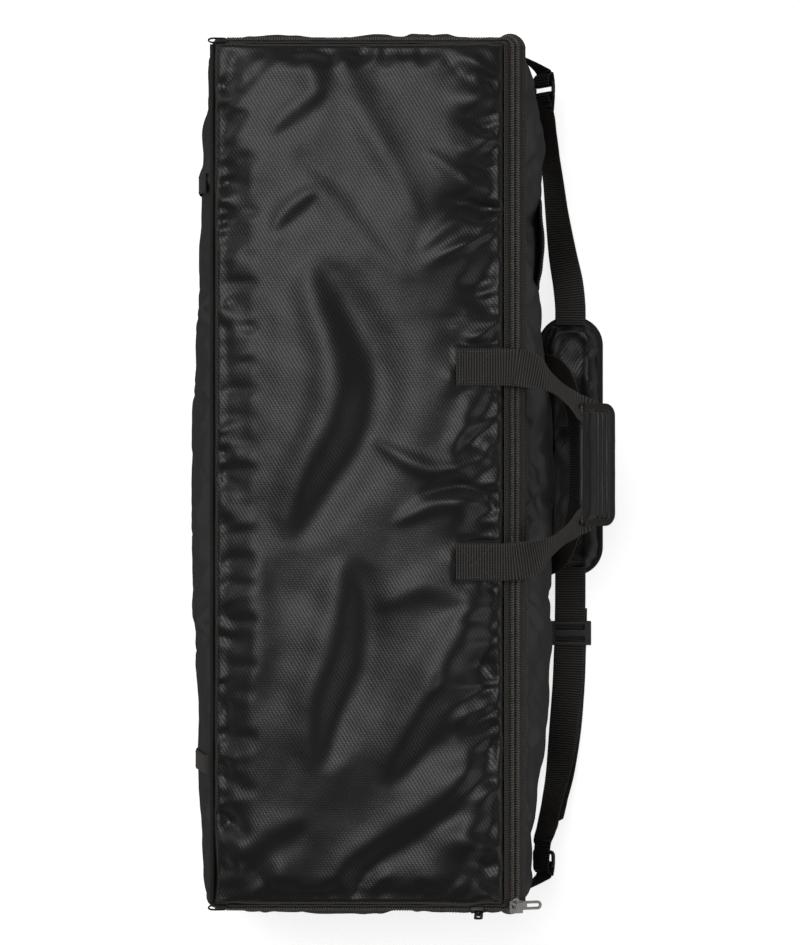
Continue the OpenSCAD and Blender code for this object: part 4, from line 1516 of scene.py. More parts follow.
@dataclass
class Zip:
    """The three-sided zip: two tapes, two coils, their sewing threads, two
    sliders with pullers and the tabs at the chain's ends."""

    finishes: Finishes
    repeat: Repeat
    stations: Array = field(init=False)

    def __post_init__(self) -> None:
        """Walks the zip: place of the inner edge, outward angle and slope."""
        rows = [(x, ZIP_Y, 90.0, END_SLOPE) for x in np.linspace(ZIP_START, ZIP_X - ZIP_R, 90)[:-1]]
        for a in np.linspace(90, 0, 31):
            rows.append((ZIP_X - ZIP_R + ZIP_R * math.cos(math.radians(a)), ZIP_Y - ZIP_R + ZIP_R
                         * math.sin(math.radians(a)),
                         a, SIDE_SLOPE + (END_SLOPE - SIDE_SLOPE) * a / 90))
        half = list(rows)
        rows += [(ZIP_X, y, 0.0, SIDE_SLOPE) for y in np.linspace(ZIP_Y - ZIP_R, -(ZIP_Y - ZIP_R), 280)[1:-1]]
        rows += [(x, -y, -a, s) for x, y, a, s in half[::-1]]
        self.stations = np.array(rows)

    def spot(self, w: Array, h: Array) -> Array:
        """Places at width w across the zip and height h above the tape."""
        s = self.stations
        angle, slope = np.radians(s[:, 2]), np.radians(s[:, 3])
        out = w * np.cos(slope) + h * np.sin(slope)
        return np.stack([s[:, 0] + out * np.cos(angle), s[:, 1] + out * np.sin(angle),
                         ZIP_Z - w * np.sin(slope) + h * np.cos(slope)], -1)

    def facing(self) -> Array:
        """The tape's face direction at each station."""
        angle, slope = np.radians(self.stations[:, 2]), np.radians(self.stations[:, 3])
        return np.stack([np.sin(slope) * np.cos(angle), np.sin(slope) * np.sin(angle), np.cos(slope)], -1)

    def strip(self, name: str, section: Sequence[tuple[float, float]], wave: float) -> Object:
        """A strip along the zip with a closed section of width and height pairs.

        Args:
            name: Piece name.
            section: The section's corners.
            wave: How far the strip's face ripples, in mm.

        Returns:
            The strip, with weave across and along it.
        """
        line = self.spot(np.full(len(self.stations), 12.0), np.zeros(len(self.stations)))
        along = np.concatenate([[0], np.cumsum(np.linalg.norm(np.diff(line, axis=0), axis=1))])
        ripple = wave * (np.sin(along / 9.1) + 0.6 * np.sin(along / 4.3 + 2))
        rings = [self.spot(np.full(len(line), w), h + ripple * (1 if w not in (11.85, 12.15) else 0.3)) for w,
                 h in section]
        points = np.stack(rings, 1)
        per = len(section)
        weave = np.stack([np.broadcast_to([w for w, _ in section], (len(line), per)),
                          np.broadcast_to(along[:, None], (len(line), per)),
                          np.zeros((len(line), per))], -1)
        last = (len(line) - 1) * per
        faces = [*ring_faces(len(line), per), list(range(per)), [last + k for k in range(per - 1, -1, -1)]]
        return outward(make_piece(name, points.reshape(-1, 3), faces, weave.reshape(-1, 3)))

    def build(self) -> None:
        """Builds the zip's two halves."""
        halves = (("lid", BODY_LID, 0.3, 11.85, 9.125, 3.0), ("case", BODY_CASE, 12.15, 24.0, 14.875, 21.4))
        for side, body, w0, w1, mid, seam in halves:
            tape = [(w0, 0.0), (w0 + 0.25, 0.42), (w0 + 1.2, 0.5), ((w0 + w1) / 2, 0.5), (w1 - 1.2, 0.5),
                    (w1 - 0.25, 0.42),
                    (w1, 0.0), (w1 - 0.4, -0.45), ((w0 + w1) / 2, -0.5), (w0 + 0.4, -0.45)]
            fit(dress(self.strip(f"{side}_tape", tape, 0.12), self.finishes.tape), body, Slot.WEBBING.value,
                f"{side}_zip_tape")
            core = [(mid + w, h) for w, h in ((-2.2, 0.6), (-2.2, 1.1), (-1.6, 1.5), (1.6, 1.5), (2.2, 1.1),
                                              (2.2, 0.6))]
            fit(dress(self.strip(f"{side}_coil_core", core, 0.0), self.finishes.binding), body,
                Slot.COIL.value)
            up = self.facing()
            slant = 15 if side == "lid" else -15
            line = [(self.spot(np.full(len(up), mid), np.full(len(up), 1.8)), up)]
            coil = self.repeat.lay(f"{side}_coil_turns", line, self.finishes.coil, 2.5, 1.75, 5.4, 2.5, slant)
            fit(coil, body, Slot.COIL.value, f"{side}_zip_coil")
            line = [(self.spot(np.full(len(up), mid + (0.3 if side == "lid" else -0.3)),
                               np.full(len(up), 2.7)), up)]
            fit(self.repeat.lay(f"{side}_coil_thread", line, self.finishes.thread, 2.5, 1.7, 1.5, 0.8, 10, 8,
                                5), body, Slot.COIL.value)
            line = [(self.spot(np.full(len(up), seam), np.full(len(up), 0.45)), up)]
            fit(self.repeat.lay(f"{side}_tape_stitches", line, self.finishes.thread, 3.2, 2.5, 0.7, 0.6, 0, 6,
                                6), body, Slot.WEBBING.value)
        for side, metal in (("right", self.finishes.plated), ("left", self.finishes.wire)):
            fit(rounded_copy(f"slider_{side}_casting", f"slider_{side}", 0.4, metal), f"{side}_slider",
                Slot.ZIP_METAL.value, f"slider_{side}")
            fit(rounded_copy(f"puller_{side}_plate", f"puller_{side}", 0.45, metal), f"{side}_puller",
                Slot.ZIP_METAL.value, f"puller_{side}")
        for sign, end in ((1, "top"), (-1, "bottom")):
            rows = [(-147, 438.1, 266, 0, 0, 1), (-155, 437.9, 266, 0, 0, 1), (-162, 438.2, 265.8, 0, 0, 1),
                    (-164.4, 440, 265.7, 0, 0, 1),
                    (-162, 441.9, 265.8, 0, 0, 1), (-155, 442.1, 266, 0, 0, 1), (-147, 441.9, 266, 0, 0, 1)]
            web = Webbing(np.array(rows) * [1, sign, 1, 1, 1, 1], 6.8, 1.5, 1.3, 0.08)
            fit(dress(web.build(f"zip_tab_{end}_fold"), self.finishes.binding), BODY_CASE, Slot.WEBBING.value,
                f"zip_tab_{end}")


# ---- bindings and sewn-on webbing ------------------------------------------


def bound_edge(name: str, line: Array, inward: Array, up: Array, width: float, thick: float,
               closed: bool = False) -> Object:
    """A folded binding over a cloth edge.

    Args:
        name: Piece name.
        line: The outer edge in mm.
        inward: Direction into the cloth at each point.
        up: The cloth's face direction at each point.
        width: How far the binding reaches in from the edge.
        thick: Its thickness over both folds.
        closed: Whether the line joins up.

    Returns:
        The binding, with weave across and along it.
    """
    section = [(1.0, -0.42), (0.8, -0.5), (0.35, -0.5), (0.1, -0.42), (0.0, -0.15), (0.0, 0.15), (0.1, 0.42),
               (0.35, 0.5), (0.8, 0.5),
               (1.0, 0.42), (1.0, 0.0)]
    along = np.concatenate([[0], np.cumsum(np.linalg.norm(np.diff(line, axis=0), axis=1))])
    wave = 1 + 0.05 * np.sin(along / 6.1) + 0.03 * np.sin(along / 2.7)
    inward, up = np.broadcast_to(inward, line.shape), np.broadcast_to(up, line.shape)
    points = np.stack([line + inward * (a * width) + up * (b * thick * wave)[:, None] for a, b in section], 1)
    per = len(section)
    girth = np.cumsum([0.0, *(math.hypot((a[0] - b[0]) * width, (a[1] - b[1]) * thick) for a,
                              b in zip(section, section[1:]))])
    weave = np.stack([np.broadcast_to(girth, (len(line), per)), np.broadcast_to(along[:, None],
            (len(line), per)), np.zeros((len(line), per))], -1)
    faces = ring_faces(len(line), per)
    last = (len(line) - 1) * per
    if closed:
        faces += [[last + k, k, (k + 1) % per, last + (k + 1) % per] for k in range(per)]
    else:
        faces += [list(range(per)), [last + k for k in range(per - 1, -1, -1)]]
    return outward(make_piece(name, points.reshape(-1, 3), faces, weave.reshape(-1, 3)))


@dataclass
class Trimmings:
    """What is sewn to the shell: hinge binding, wall patches, end webbing and pocket."""

    finishes: Finishes
    repeat: Repeat
    shell: Shell

    def hinge(self) -> None:
        """The bound hinge edge and the cloth that joins it to the wall."""
        y = np.linspace(-435.8, 435.8, 320)
        line = np.stack([-160.5 + 0.25 * np.sin(y / 21), y, 266.5 + 0.25 * np.sin(y / 33 + 1)], -1)
        obj = dress(tube("hinge_binding_roll", line, 2.75, 14), self.finishes.binding)
        fit(obj, BODY_CASE, Slot.WEBBING.value, "hinge_binding")
        y = np.linspace(-434, 434, 220)
        rings = []
        for x, z in ((-156.2, 259.6), (-158.6, 261.4), (-160.6, 263.2), (-161.6, 264.8), (-160.4, 264.6),
                     (-158.9, 263.6), (-155.0, 261.4), (-154.6, 260.4)):
            rings.append(np.stack([x + 0.35 * np.sin(y / 13 + z), y, z + 0.2 * np.sin(y / 9)], -1))
        points = np.stack(rings, 1)
        per = len(rings)
        weave = np.stack([np.broadcast_to(np.arange(per) * 2.0, (len(y), per)), np.broadcast_to(y[:, None],
                (len(y), per)), np.zeros((len(y), per))], -1)
        last = (len(y) - 1) * per
        faces = [*ring_faces(len(y), per), list(range(per)), [last + k for k in range(per - 1, -1, -1)]]
        obj = outward(make_piece("hinge_cloth", points.reshape(-1, 3), faces, weave.reshape(-1, 3)))
        fit(dress(obj, self.finishes.nylon), BODY_CASE, Slot.SHELL.value)

    def patches(self) -> None:
        """Short webbing sewn to the hinged wall and to the bottom end."""
        wall = self.shell.panels["left"]
        rows = []
        for name, y0 in (("wall_patch_top", 297.0), ("wall_patch_bottom", -297.0)):
            v = np.linspace(0.44, 0.93, 16)
            p, _ = wall.at(np.full(v.shape, (1 - y0 / HALF_L) / 2), v, 1.5)
            web = Webbing(np.c_[p, np.broadcast_to([0, 1, 0], p.shape)], 20, 2.0)
            fit(dress(web.build(name + "_web"), self.finishes.webbing), BODY_CASE, Slot.WEBBING.value, name)
            rows += [web.edge_line(s, 0.05, 0.95, 1.0 if web.facing[0][0] < 0 else -1.0)
                     for s in (-0.75, 0.75)]
        p = np.array([[62, -450.9, 176], [98, -452.2, 176], [134, -449.2, 176]], float)
        web = Webbing(np.c_[p, np.broadcast_to([0, 0, 1], p.shape)], 38, 2.2)
        fit(dress(web.build("end_webbing_web"), self.finishes.webbing), BODY_CASE, Slot.WEBBING.value,
            "end_webbing")
        rows += [web.edge_line(s, 0.05, 0.95, 1.0 if web.facing[0][1] < 0 else -1.0) for s in (-0.8, 0.8)]
        fit(self.repeat.lay("patch_stitches", rows, self.finishes.thread, 3.2, 2.5, 0.8, 0.6, 0, 8, 9),
            BODY_CASE, Slot.WEBBING.value)

    def pocket(self) -> None:
        """The address-card pocket: a gaping cloth with a bound mouth."""
        wall = self.shell.panels["right"]
        s, t = np.meshgrid(np.linspace(0, 1, 47), np.linspace(0, 1, 32), indexing="ij")
        y, z = 191 + 92 * s, 152 + 62 * t
        u, v = (y / HALF_L + 1) / 2, (z - WALL_Z0) / (WALL_H - WALL_Z0)
        base, _ = wall.at(u, v, 0.6)
        gape = hump(s, 0.45) * ease(t / 0.35) * (0.75 + 0.25 * t)
        face = base.copy()
        face[..., 0] = np.maximum(base[..., 0], base[..., 0] * (1 - gape) + 177.6 * gape) + 0.5 * wander(y, z,
                14, 5) * hump(s, 0.5)
        inner = face - [1.3, 0, 0]
        rows, cols = s.shape
        number = np.arange(rows * cols).reshape(rows, cols)
        loop = np.concatenate([number[:-1, 0], number[-1, :-1], number[:0:-1, -1], number[0, :0:-1]])
        total = rows * cols
        faces = ring_faces(rows, cols, closed=False)
        faces += [[n + total for n in f[::-1]] for f in faces]
        faces += [[loop[k], loop[(k + 1) % len(loop)], loop[(k + 1) % len(loop)] + total, loop[k] + total]
                  for k in range(len(loop))]
        flat = np.stack([y, z, np.zeros(y.shape)], -1).reshape(-1, 3)
        obj = outward(make_piece("card_pocket_cloth", np.vstack([face.reshape(-1, 3), inner.reshape(-1, 3)]),
                                 faces, np.vstack([flat, flat])))
        fit(dress(obj, self.finishes.nylon), BODY_CASE, Slot.SHELL.value, "card_pocket")
        mouth = face[:, -1] + [-0.6, 0, 1.0]
        dense = even_run(mouth, 1.5)
        obj = bound_edge("card_pocket_binding", dense, np.array([0, 0, -1.0]), np.array([1.0, 0, 0]), 8, 3.0)
        fit(dress(obj, self.finishes.binding), BODY_CASE, Slot.WEBBING.value)
        rows = [(dense + [1.6, 0, -6.4], np.array([1.0, 0, 0]))]
        fit(self.repeat.lay("card_pocket_stitches", rows, self.finishes.thread, 3.0, 2.3, 0.7, 0.6, 0, 8, 2),
            BODY_CASE, Slot.WEBBING.value)

    def build(self) -> None:
        """Builds everything sewn to the shell."""
        self.hinge()
        self.patches()
        self.pocket()


# ---- handles ---------------------------------------------------------------

FRONT_Y, LEG_Y = 9.5, 98.5


@dataclass
class Handles:
    """The front handle with its folded grip, and the rear handle."""

    finishes: Finishes
    repeat: Repeat
    grip: tuple[float, float, float] = (231.0, FRONT_Y, 232.0)
    tilt: float = 37.0
    wrap_l: float = 124.0

    def front(self) -> None:
        """The webbing from one sewn end over the zip to the other."""
        def leg(sign: float) -> list[list[float]]:
            """One leg of the front handle, from its sewn end out to the grip.

            Args:
                sign: 1 for the upper leg, -1 for the lower one.

            Returns:
                Rows of a place in millimetres and the direction across the webbing.
            """
            y = FRONT_Y + sign * LEG_Y
            rows = [[86.2, y, 283.85, 0, 1, 0], [100, y, 282.6, 0, 1, 0], [114, y, 281.4, 0, 1, 0],
                    [126, y, 280.4, 0, 1, 0],
                    [138, y, 280.0, 0, 1, 0], [150, y - sign, 280.5, 0, 1, 0],
                    [168, y - 5 * sign, 277, 0.02 * sign, 0.9, -0.4 * sign],
                    [184, y - 15 * sign, 268.5, 0, 0.55, -0.8 * sign], [198, y - 27 * sign, 257, 0.12 * sign,
                            0.35, -0.9 * sign],
                    [211, y - 38 * sign, 246, 0.4 * sign, 0.25, -0.85 * sign], [221, y - 46 * sign, 239,
                            0.65 * sign, 0.1, -0.7 * sign]]
            return rows
        upper, lower = leg(1), leg(-1)
        grip = [[231, FRONT_Y + y, 232, 0.8, 0, -0.602] for y in (36, 12, -12, -36)]
        turned = [[*r[:3], -r[3], -r[4], -r[5]] for r in lower[::-1]]
        web = Webbing(np.array(upper + grip + turned), 38, 2.4)
        obj = dress(web.build("front_handle_webbing"), self.finishes.webbing)
        bend_across(obj, (BODY_LID, "front_handle"), (126.5, FRONT_Y, 281), (136, FRONT_Y, 281),
                    Slot.WEBBING.value,
                    "front_handle_web", "front_patch_upper", "front_patch_lower")
        lines = []
        for y in (108.0, -89.0):
            facing = np.array([math.sin(math.radians(5)), 0, math.cos(math.radians(5))])
            corner = np.array([89.5, y - 15.5, 283.55]) + facing * 1.25
            lines += box_stitch(corner, np.array([33 * facing[2], 0, -33 * facing[0]]),
                                np.array([0, 31.0, 0]))
        fit(self.repeat.lay("front_patch_stitches", lines, self.finishes.thread, 3.0, 2.4, 0.8, 0.6, 0, 8, 4),
            BODY_LID, Slot.WEBBING.value)

    def leaf(self, name: str, node: str, body: str, side: float) -> None:
        """One padded leaf of the grip, with sewn channels and a bound edge.

        Args:
            name: Piece name.
            node: The CAD node it stands for.
            body: The body it rides on.
            side: 1 for the leaf above the webbing and -1 for the one below.
        """
        x0, x1, r, half, near, thick = -19.7, 20.8, 12.0, self.wrap_l / 2, 1.9, 5.0
        def reach(y: Array) -> Array:
            """How far the leaf's rounded end reaches at each y."""
            d = np.clip(half - np.abs(y), 0, r)
            return x1 - r + np.sqrt(np.maximum(r * r - (r - d) ** 2, 0))
        share = np.sin(np.linspace(-math.pi / 2, math.pi / 2, 95))
        y, v = np.meshgrid(half * share, np.linspace(0, 1, 60), indexing="ij")
        x = x0 + v * (reach(y) - x0)
        edge = np.minimum(np.minimum(reach(y) - x, half - np.abs(y)), x - x0 + 3)
        crown = ease((edge - 4.5) / 6.5) ** 0.6
        channel = sum(bell(x, c, 1.25) for c in (-3.9, 1.8, 7.9)) * ease((half - np.abs(y)) / 9)
        height = 2.2 + crown * (thick - 2.2) - 1.7 * channel + 0.22 * wander(x, y * 0.6, 9, 3 if side > 0
                else 4) * crown
        outer = np.stack([x, y, side * (near + np.maximum(height, 1.2))], -1)
        inner = np.stack([x, y, np.full(x.shape, side * near)], -1)
        rows, cols = x.shape
        number = np.arange(rows * cols).reshape(rows, cols)
        loop = np.concatenate([number[:-1, 0], number[-1, :-1], number[:0:-1, -1], number[0, :0:-1]])
        total = rows * cols
        faces = ring_faces(rows, cols, closed=False)
        faces += [[n + total for n in f[::-1]] for f in faces]
        faces += [[loop[k], loop[(k + 1) % len(loop)], loop[(k + 1) % len(loop)] + total, loop[k] + total]
                  for k in range(len(loop))]
        def placed(p: Array) -> Array:
            """Points of the leaf moved to the grip's place and tilt."""
            return turn_y(p, self.tilt) + np.array(self.grip)
        flat = np.stack([y * 0.94, x * 0.94, np.zeros(x.shape)], -1).reshape(-1, 3)
        obj = outward(make_piece(name, placed(np.vstack([outer.reshape(-1, 3), inner.reshape(-1, 3)])), faces,
                                 np.vstack([flat, flat])))
        fit(dress(obj, self.finishes.nylon), body, Slot.SHELL.value, node)
        path = [(x0, -half)]
        for cy, a0 in ((-half + r, -90), (half - r, 0)):
            path += [(x1 - r + r * math.cos(math.radians(a)), cy + r * math.sin(math.radians(a)))
                     for a in np.linspace(a0, a0 + 90, 10)]
        path.append((x0, half))
        mid = side * (near + 1.5)
        line = even_run(np.array([(a, b, mid) for a, b in path]), 1.2)
        ahead = unit(np.gradient(line, axis=0))
        inward = np.cross([0, 0, 1.0], ahead)
        def turned(p: Array) -> Array:
            """Directions on the leaf turned by the grip's tilt."""
            return turn_y(p, self.tilt)
        line = line - inward * 0.8
        obj = bound_edge(name + "_binding", placed(line), turned(inward), turned(np.array([0, 0, 1.0])), 7.5,
                         3.9)
        fit(dress(obj, self.finishes.binding), body, Slot.WEBBING.value)
        rows = [(placed(line + inward * 6.6 + [0, 0, side * 2.0]), turned(np.array([0, 0, side])))]
        for c in (-3.9, 1.8, 7.9):
            y = np.linspace(-half + 9, half - 9, 40)
            rows.append((placed(np.stack([np.full(y.shape, c), y,
                                          np.full(y.shape, side * (near + thick - 1.75))], -1)),
                                          turned(np.array([0, 0, side]))))
        fit(self.repeat.lay(name + "_stitches", rows, self.finishes.thread, 3.0, 2.3, 0.7, 0.55, 0, 8, 7),
            body, Slot.WEBBING.value)

    def fold(self) -> None:
        """The cloth that joins the grip's two leaves along its back."""
        y = np.linspace(-self.wrap_l / 2 + 1, self.wrap_l / 2 - 1, 80)
        rings = []
        angles = np.radians(np.linspace(-90, 90, 15))
        for rx, rz in ((4.2, 4.6), (3.2, 3.5)):
            ring = [np.stack([-19.4 - rx * math.cos(a) * (1 + 0.05 * np.sin(y / 7)), y,
                              np.full(y.shape, rz * math.sin(a))], -1)
                    for a in (angles if rx > 4 else angles[::-1])]
            rings += ring
        points = turn_y(np.stack(rings, 1), self.tilt) + np.array(self.grip)
        per = len(rings)
        weave = np.stack([np.broadcast_to(y[:, None], (len(y), per)), np.broadcast_to(np.arange(per) * 1.1,
                (len(y), per)),
                          np.zeros((len(y), per))], -1)
        last = (len(y) - 1) * per
        ends = []
        for first in (0, last):
            ends += [[first + k, first + k + 1, first + per - 2 - k, first + per - 1 - k]
                     for k in range(per // 2 - 1)]
        obj = outward(make_piece("grip_fold", points.reshape(-1, 3), ring_faces(len(y), per) + ends,
                                 weave.reshape(-1, 3)))
        low, high = (turn_y(np.array([-20.0, 0, z]), self.tilt) + np.array(self.grip) for z in (-2.5, 2.5))
        bend_across(dress(obj, self.finishes.nylon), ("front_handle", "grip_leaf"), low, high,
                    Slot.SHELL.value)

    def rear(self) -> None:
        """The webbing that stands along the wall."""
        def leg(sign: float) -> list[list[float]]:
            """One leg of the rear handle, from its sewn end up to the loop.

            Args:
                sign: 1 for the upper leg, -1 for the lower one.

            Returns:
                Rows of a place in millimetres and the direction across the webbing.
            """
            y = FRONT_Y + sign * LEG_Y
            lean = math.radians(13)
            rows = [[176.7 + d * math.sin(lean), y, 56 + d * math.cos(lean), 0, 1, 0] for d in (-20.8, -8, 6,
                    19)]
            return rows + [[183.6, y, 84, 0, 1, 0], [191, y - 2 * sign, 99, 0.05, 1, 0.1],
                           [200, y - 9 * sign, 120, 0.2 * sign, 0.8, 0.5 * sign],
                           [207, y - 22 * sign, 138, 0.3 * sign, 0.5, 0.8 * sign], [212, y - 42 * sign, 150,
                                   0.35 * sign, 0.15, 0.93 * sign]]
        upper, lower = leg(1), leg(-1)
        grip = [[215.5 - abs(y) / 40, FRONT_Y + y, 154, 0.38, 0, 0.92] for y in (28, 0, -28)]
        turned = [[*r[:3], -r[3], -r[4], -r[5]] for r in lower[::-1]]
        web = Webbing(np.array(upper + grip + turned), 38, 2.4)
        obj = dress(web.build("rear_handle_webbing"), self.finishes.webbing)
        bend_across(obj, (BODY_CASE, "rear_handle"), (183, FRONT_Y, 74.5), (184, FRONT_Y, 83.5),
                    Slot.WEBBING.value,
                    "rear_handle_web", "rear_patch_upper", "rear_patch_lower")
        lines = []
        facing = np.array([math.cos(math.radians(13)), 0, -math.sin(math.radians(13))])
        rise = np.array([math.sin(math.radians(13)), 0, math.cos(math.radians(13))])
        for y in (108.0, -89.0):
            corner = np.array([176.7, y - 15.5, 56]) - rise * 17 + facing * 1.25
            lines += box_stitch(corner, np.array([0, 31.0, 0]), rise * 32)
        fit(self.repeat.lay("rear_patch_stitches", lines, self.finishes.thread, 3.0, 2.4, 0.8, 0.6, 0, 8, 4),
            BODY_CASE, Slot.WEBBING.value)

    def build(self) -> None:
        """Builds both handles."""
        self.front()
        self.leaf("grip_wrap_leaf", "grip_wrap", "front_handle", -1.0)
        self.leaf("grip_flap_leaf", "grip_flap", "grip_leaf", 1.0)
        self.fold()
        self.rear()


# ---- shoulder strap --------------------------------------------------------


@dataclass
class Strap:
    """The shoulder strap: tabs, rings, webbing, adjuster and curved pad."""

    finishes: Finishes
    repeat: Repeat
    ring: tuple[float, float, float] = (183.0, 408.0, 76.0)
    gap: float = 7.0
    wire: float = 2.1
    web_w: float = 33.0
    wide: Array = field(init=False)
    out: Array = field(init=False)

    def __post_init__(self) -> None:
        """Works out the ring's width and face directions."""
        a = math.radians(62)
        self.wide = np.array([math.cos(a), 0, math.sin(a)])
        self.out = np.array([-math.sin(a), 0, math.cos(a)])

    def near_ring(self, y: float, n: float) -> list[float]:
        """A webbing row at that Y and height off the ring's plane."""
        p = np.array([self.ring[0], y, self.ring[2]]) + n * self.out
        return [*p, *self.wide]

    def loop(self, sign: float, bar: float) -> list[list[float]]:
        """Webbing rows round one bar of a ring, from beneath to above.

        Args:
            sign: 1 for the top ring and -1 for the bottom one.
            bar: 1 for the bar nearer the end of the case and -1 for the other.

        Returns:
            The rows.
        """
        centre = sign * (self.ring[1] + bar * self.gap)
        r = self.wire + 1.6
        rows = []
        for a in np.radians(np.linspace(-90, 90, 9)):
            rows.append(self.near_ring(centre - sign * bar * r * math.cos(a), r * math.sin(a)))
        return rows

    def rings(self) -> None:
        """Two rounded wire rings."""
        for sign, end in ((1, "top"), (-1, "bottom")):
            hx, hy, r = self.web_w / 2 + self.wire + 1, self.gap, 4.0
            path = []
            for cx, cy, a0 in ((hx - r, hy - r, 0), (-hx + r, hy - r, 90), (-hx + r, -hy + r, 180),
                               (hx - r, -hy + r, 270)):
                path += [(cx + r * math.cos(math.radians(a)), cy + r * math.sin(math.radians(a)))
                         for a in np.linspace(a0, a0 + 90, 8)]
            line = np.array([np.array([self.ring[0], sign * self.ring[1] + b, self.ring[2]]) + a * self.wide
                             for a, b in path])
            obj = dress(tube(f"ring_{end}_wire", line, self.wire, 16, closed=True), self.finishes.wire)
            fit(obj, BODY_STRAP, Slot.RING_METAL.value, f"strap_ring_{end}")

    def tabs(self) -> None:
        """Tabs from the end seams, folded round the rings."""
        for sign, end in ((1, "top"), (-1, "bottom")):
            seam = [[154.5, sign * 443, 84, 0, 0, 1], [165, sign * 438.5, 81, 0.1, 0, 1],
                    [176, sign * 432, 78, 0.3, 0, 0.95],
                    [182.5, sign * 426, 76.3, 0.46, 0, 0.885]]
            over = [self.near_ring(sign * 421, 3.2), *self.loop(sign, 1.0)[::-1], self.near_ring(sign * 420,
                    -3.0), self.near_ring(sign * 426, -1.8)]
            web = Webbing(np.array(seam + over), self.web_w, 2.0)
            obj = dress(web.build(f"strap_tab_{end}_web"), self.finishes.webbing)
            bend_across(obj, (BODY_CASE, BODY_STRAP), (183, sign * 438, 76), (183, sign * 421, 76),
                        Slot.WEBBING.value,
                        f"strap_tab_{end}", f"strap_anchor_{end}")

    def webs(self) -> None:
        """The strap's two runs and the free end that comes back to the adjuster."""
        ry = self.ring[1]
        upper = [self.near_ring(ry - 24, -2.4), self.near_ring(ry - 14, -3.2), *self.loop(1.0, -1.0),
                 self.near_ring(ry - 14, 1.6),
                 [184, ry - 22, 73.5, *self.wide], [186, 370, 58, 0.5, 0, 0.87],
                 [190, 345, 37, 0.55, 0, 0.83], [195, 315, 22, 0.62, 0, 0.78],
                 [200, 275, 14, 0.75, 0, 0.66], [206, 235, 8.5, 0.92, 0, 0.4], [211.5, 205, 6.4, 1, 0, 0.12],
                 [214, 181, 6.6, 1, 0, 0],
                 [214, 160, 7.2, 1, 0, 0]]
        lower = [[214, -100, 7.0, 1, 0, 0], [214, -120, 6.6, 1, 0, 0], [214, -145, 5.5, 1, 0, 0],
                 [213, -185, 4.5, 1, 0, 0.02], [211, -230, 5.5, 1, 0, 0.1],
                 [207, -275, 8.5, 0.94, 0, 0.3], [201, -320, 16, 0.78, 0, 0.6], [194, -350, 33, 0.6, 0, 0.8],
                 [188, -372, 54, 0.5, 0, 0.87]]
        ring = [[184, -ry + 22, 73.5, *self.wide], self.near_ring(-ry + 14, 1.6), *self.loop(-1.0, 1.0)[::-1]]
        back = [[r[0] + 5, r[1], r[2] - (1.6 if k < 3 else 0), *r[3:]] for k, r in enumerate(lower[2:])]
        for name, rows, node in (("strap_upper_web", upper, "strap_web_upper"),
                                 ("strap_lower_web", lower + ring, "strap_web_lower")):
            web = Webbing(np.array(rows), self.web_w, 2.2)
            fit(dress(web.build(name), self.finishes.webbing), BODY_STRAP, Slot.WEBBING.value, node)
        web = Webbing(np.array(back), self.web_w - 6, 1.8, rise=-2.4)
        fit(dress(web.build("strap_return_web"), self.finishes.webbing), BODY_STRAP, Slot.WEBBING.value,
            "strap_web_return")
        obj = rounded_copy("adjuster_slide", "strap_adjuster", 0.7, self.finishes.moulded)
        fit(obj, BODY_STRAP, Slot.PLASTIC.value, "strap_adjuster")

    def pad(self) -> None:
        """The shoulder pad with rounded ends, a bound edge and its stitches."""
        cx, cy, z0, length, width, thick, r = 214.5, 30.0, 0.3, 278.0, 68.0, 13.0, 30.0
        half, hw = length / 2, width / 2
        def reach(y: Array) -> Array:
            """Half the pad's width at each y, narrower round its corners."""
            d = np.clip(half - np.abs(y), 0, r)
            return hw - r + np.sqrt(np.maximum(r * r - (r - d) ** 2, 0))
        def outer(u: Array, v: Array) -> Array:
            """The pad's upper face, crowned inside its binding.

            Args:
                u: Share of the way along the panel, 0 to 1.
                v: Share of the way across it, 0 to 1.

            Returns:
                Points in millimetres.
            """
            y = half * np.sin(math.pi * (u - 0.5)) * 0.35 + half * (2 * u - 1) * 0.65
            x = (1 - 2 * v) * reach(y)
            edge = np.minimum(reach(y) - np.abs(x), half - np.abs(y))
            z = z0 + 4.0 + (thick - 4.0) * ease((edge - 4.5) / 13) ** 0.55
            return np.stack([cx + x, cy + y, z], -1)
        def inner(u: Array, v: Array) -> Array:
            """The pad's flat lower face.

            Args:
                u: Share of the way along the panel, 0 to 1.
                v: Share of the way across it, 0 to 1.

            Returns:
                Points in millimetres.
            """
            p = outer(u, v)
            p[..., 2] = z0
            return p
        def trimmed(grid: Array, up: Array, u: Array, v: Array) -> Array:
            """Hold the pad within its thickness."""
            grid[..., 2] = np.clip(grid[..., 2], z0 + 2.0, z0 + thick + 2.5)
            return grid
        panel = PaddedPanel("shoulder_pad_quilt", BODY_STRAP, "strap_pad", lambda u, v: outer(v, u), lambda u,
                            v: inner(v, u), width, length,
                            cell=2.4, pressure=3.0, growth=0.008, cap=2.5, fill=0.75, shape=trimmed,
                            gathers={"u0": Puckers(26, 1.5, (4, 9), (8, 20), 91),
                                     "u1": Puckers(26, 1.5, (4, 9), (8, 20), 92)},
                            hills=((30, 0.35, 93), (12, 0.12, 94)))
        panel.build(self.finishes.nylon)
        path = []
        for sx, sy, a0 in ((1, 1, 0), (-1, 1, 90), (-1, -1, 180), (1, -1, 270)):
            path += [(cx + sx * (hw - r) + r * math.cos(math.radians(a)), cy + sy * (half - r) + r
                      * math.sin(math.radians(a)), z0 + 2.9)
                     for a in np.linspace(a0, a0 + 90, 16)]
        line = even_run(np.array([*path, path[0]]), 1.3)[:-1]
        ahead = unit(np.roll(line, -1, 0) - np.roll(line, 1, 0))
        inward = np.cross([0, 0, 1.0], ahead)
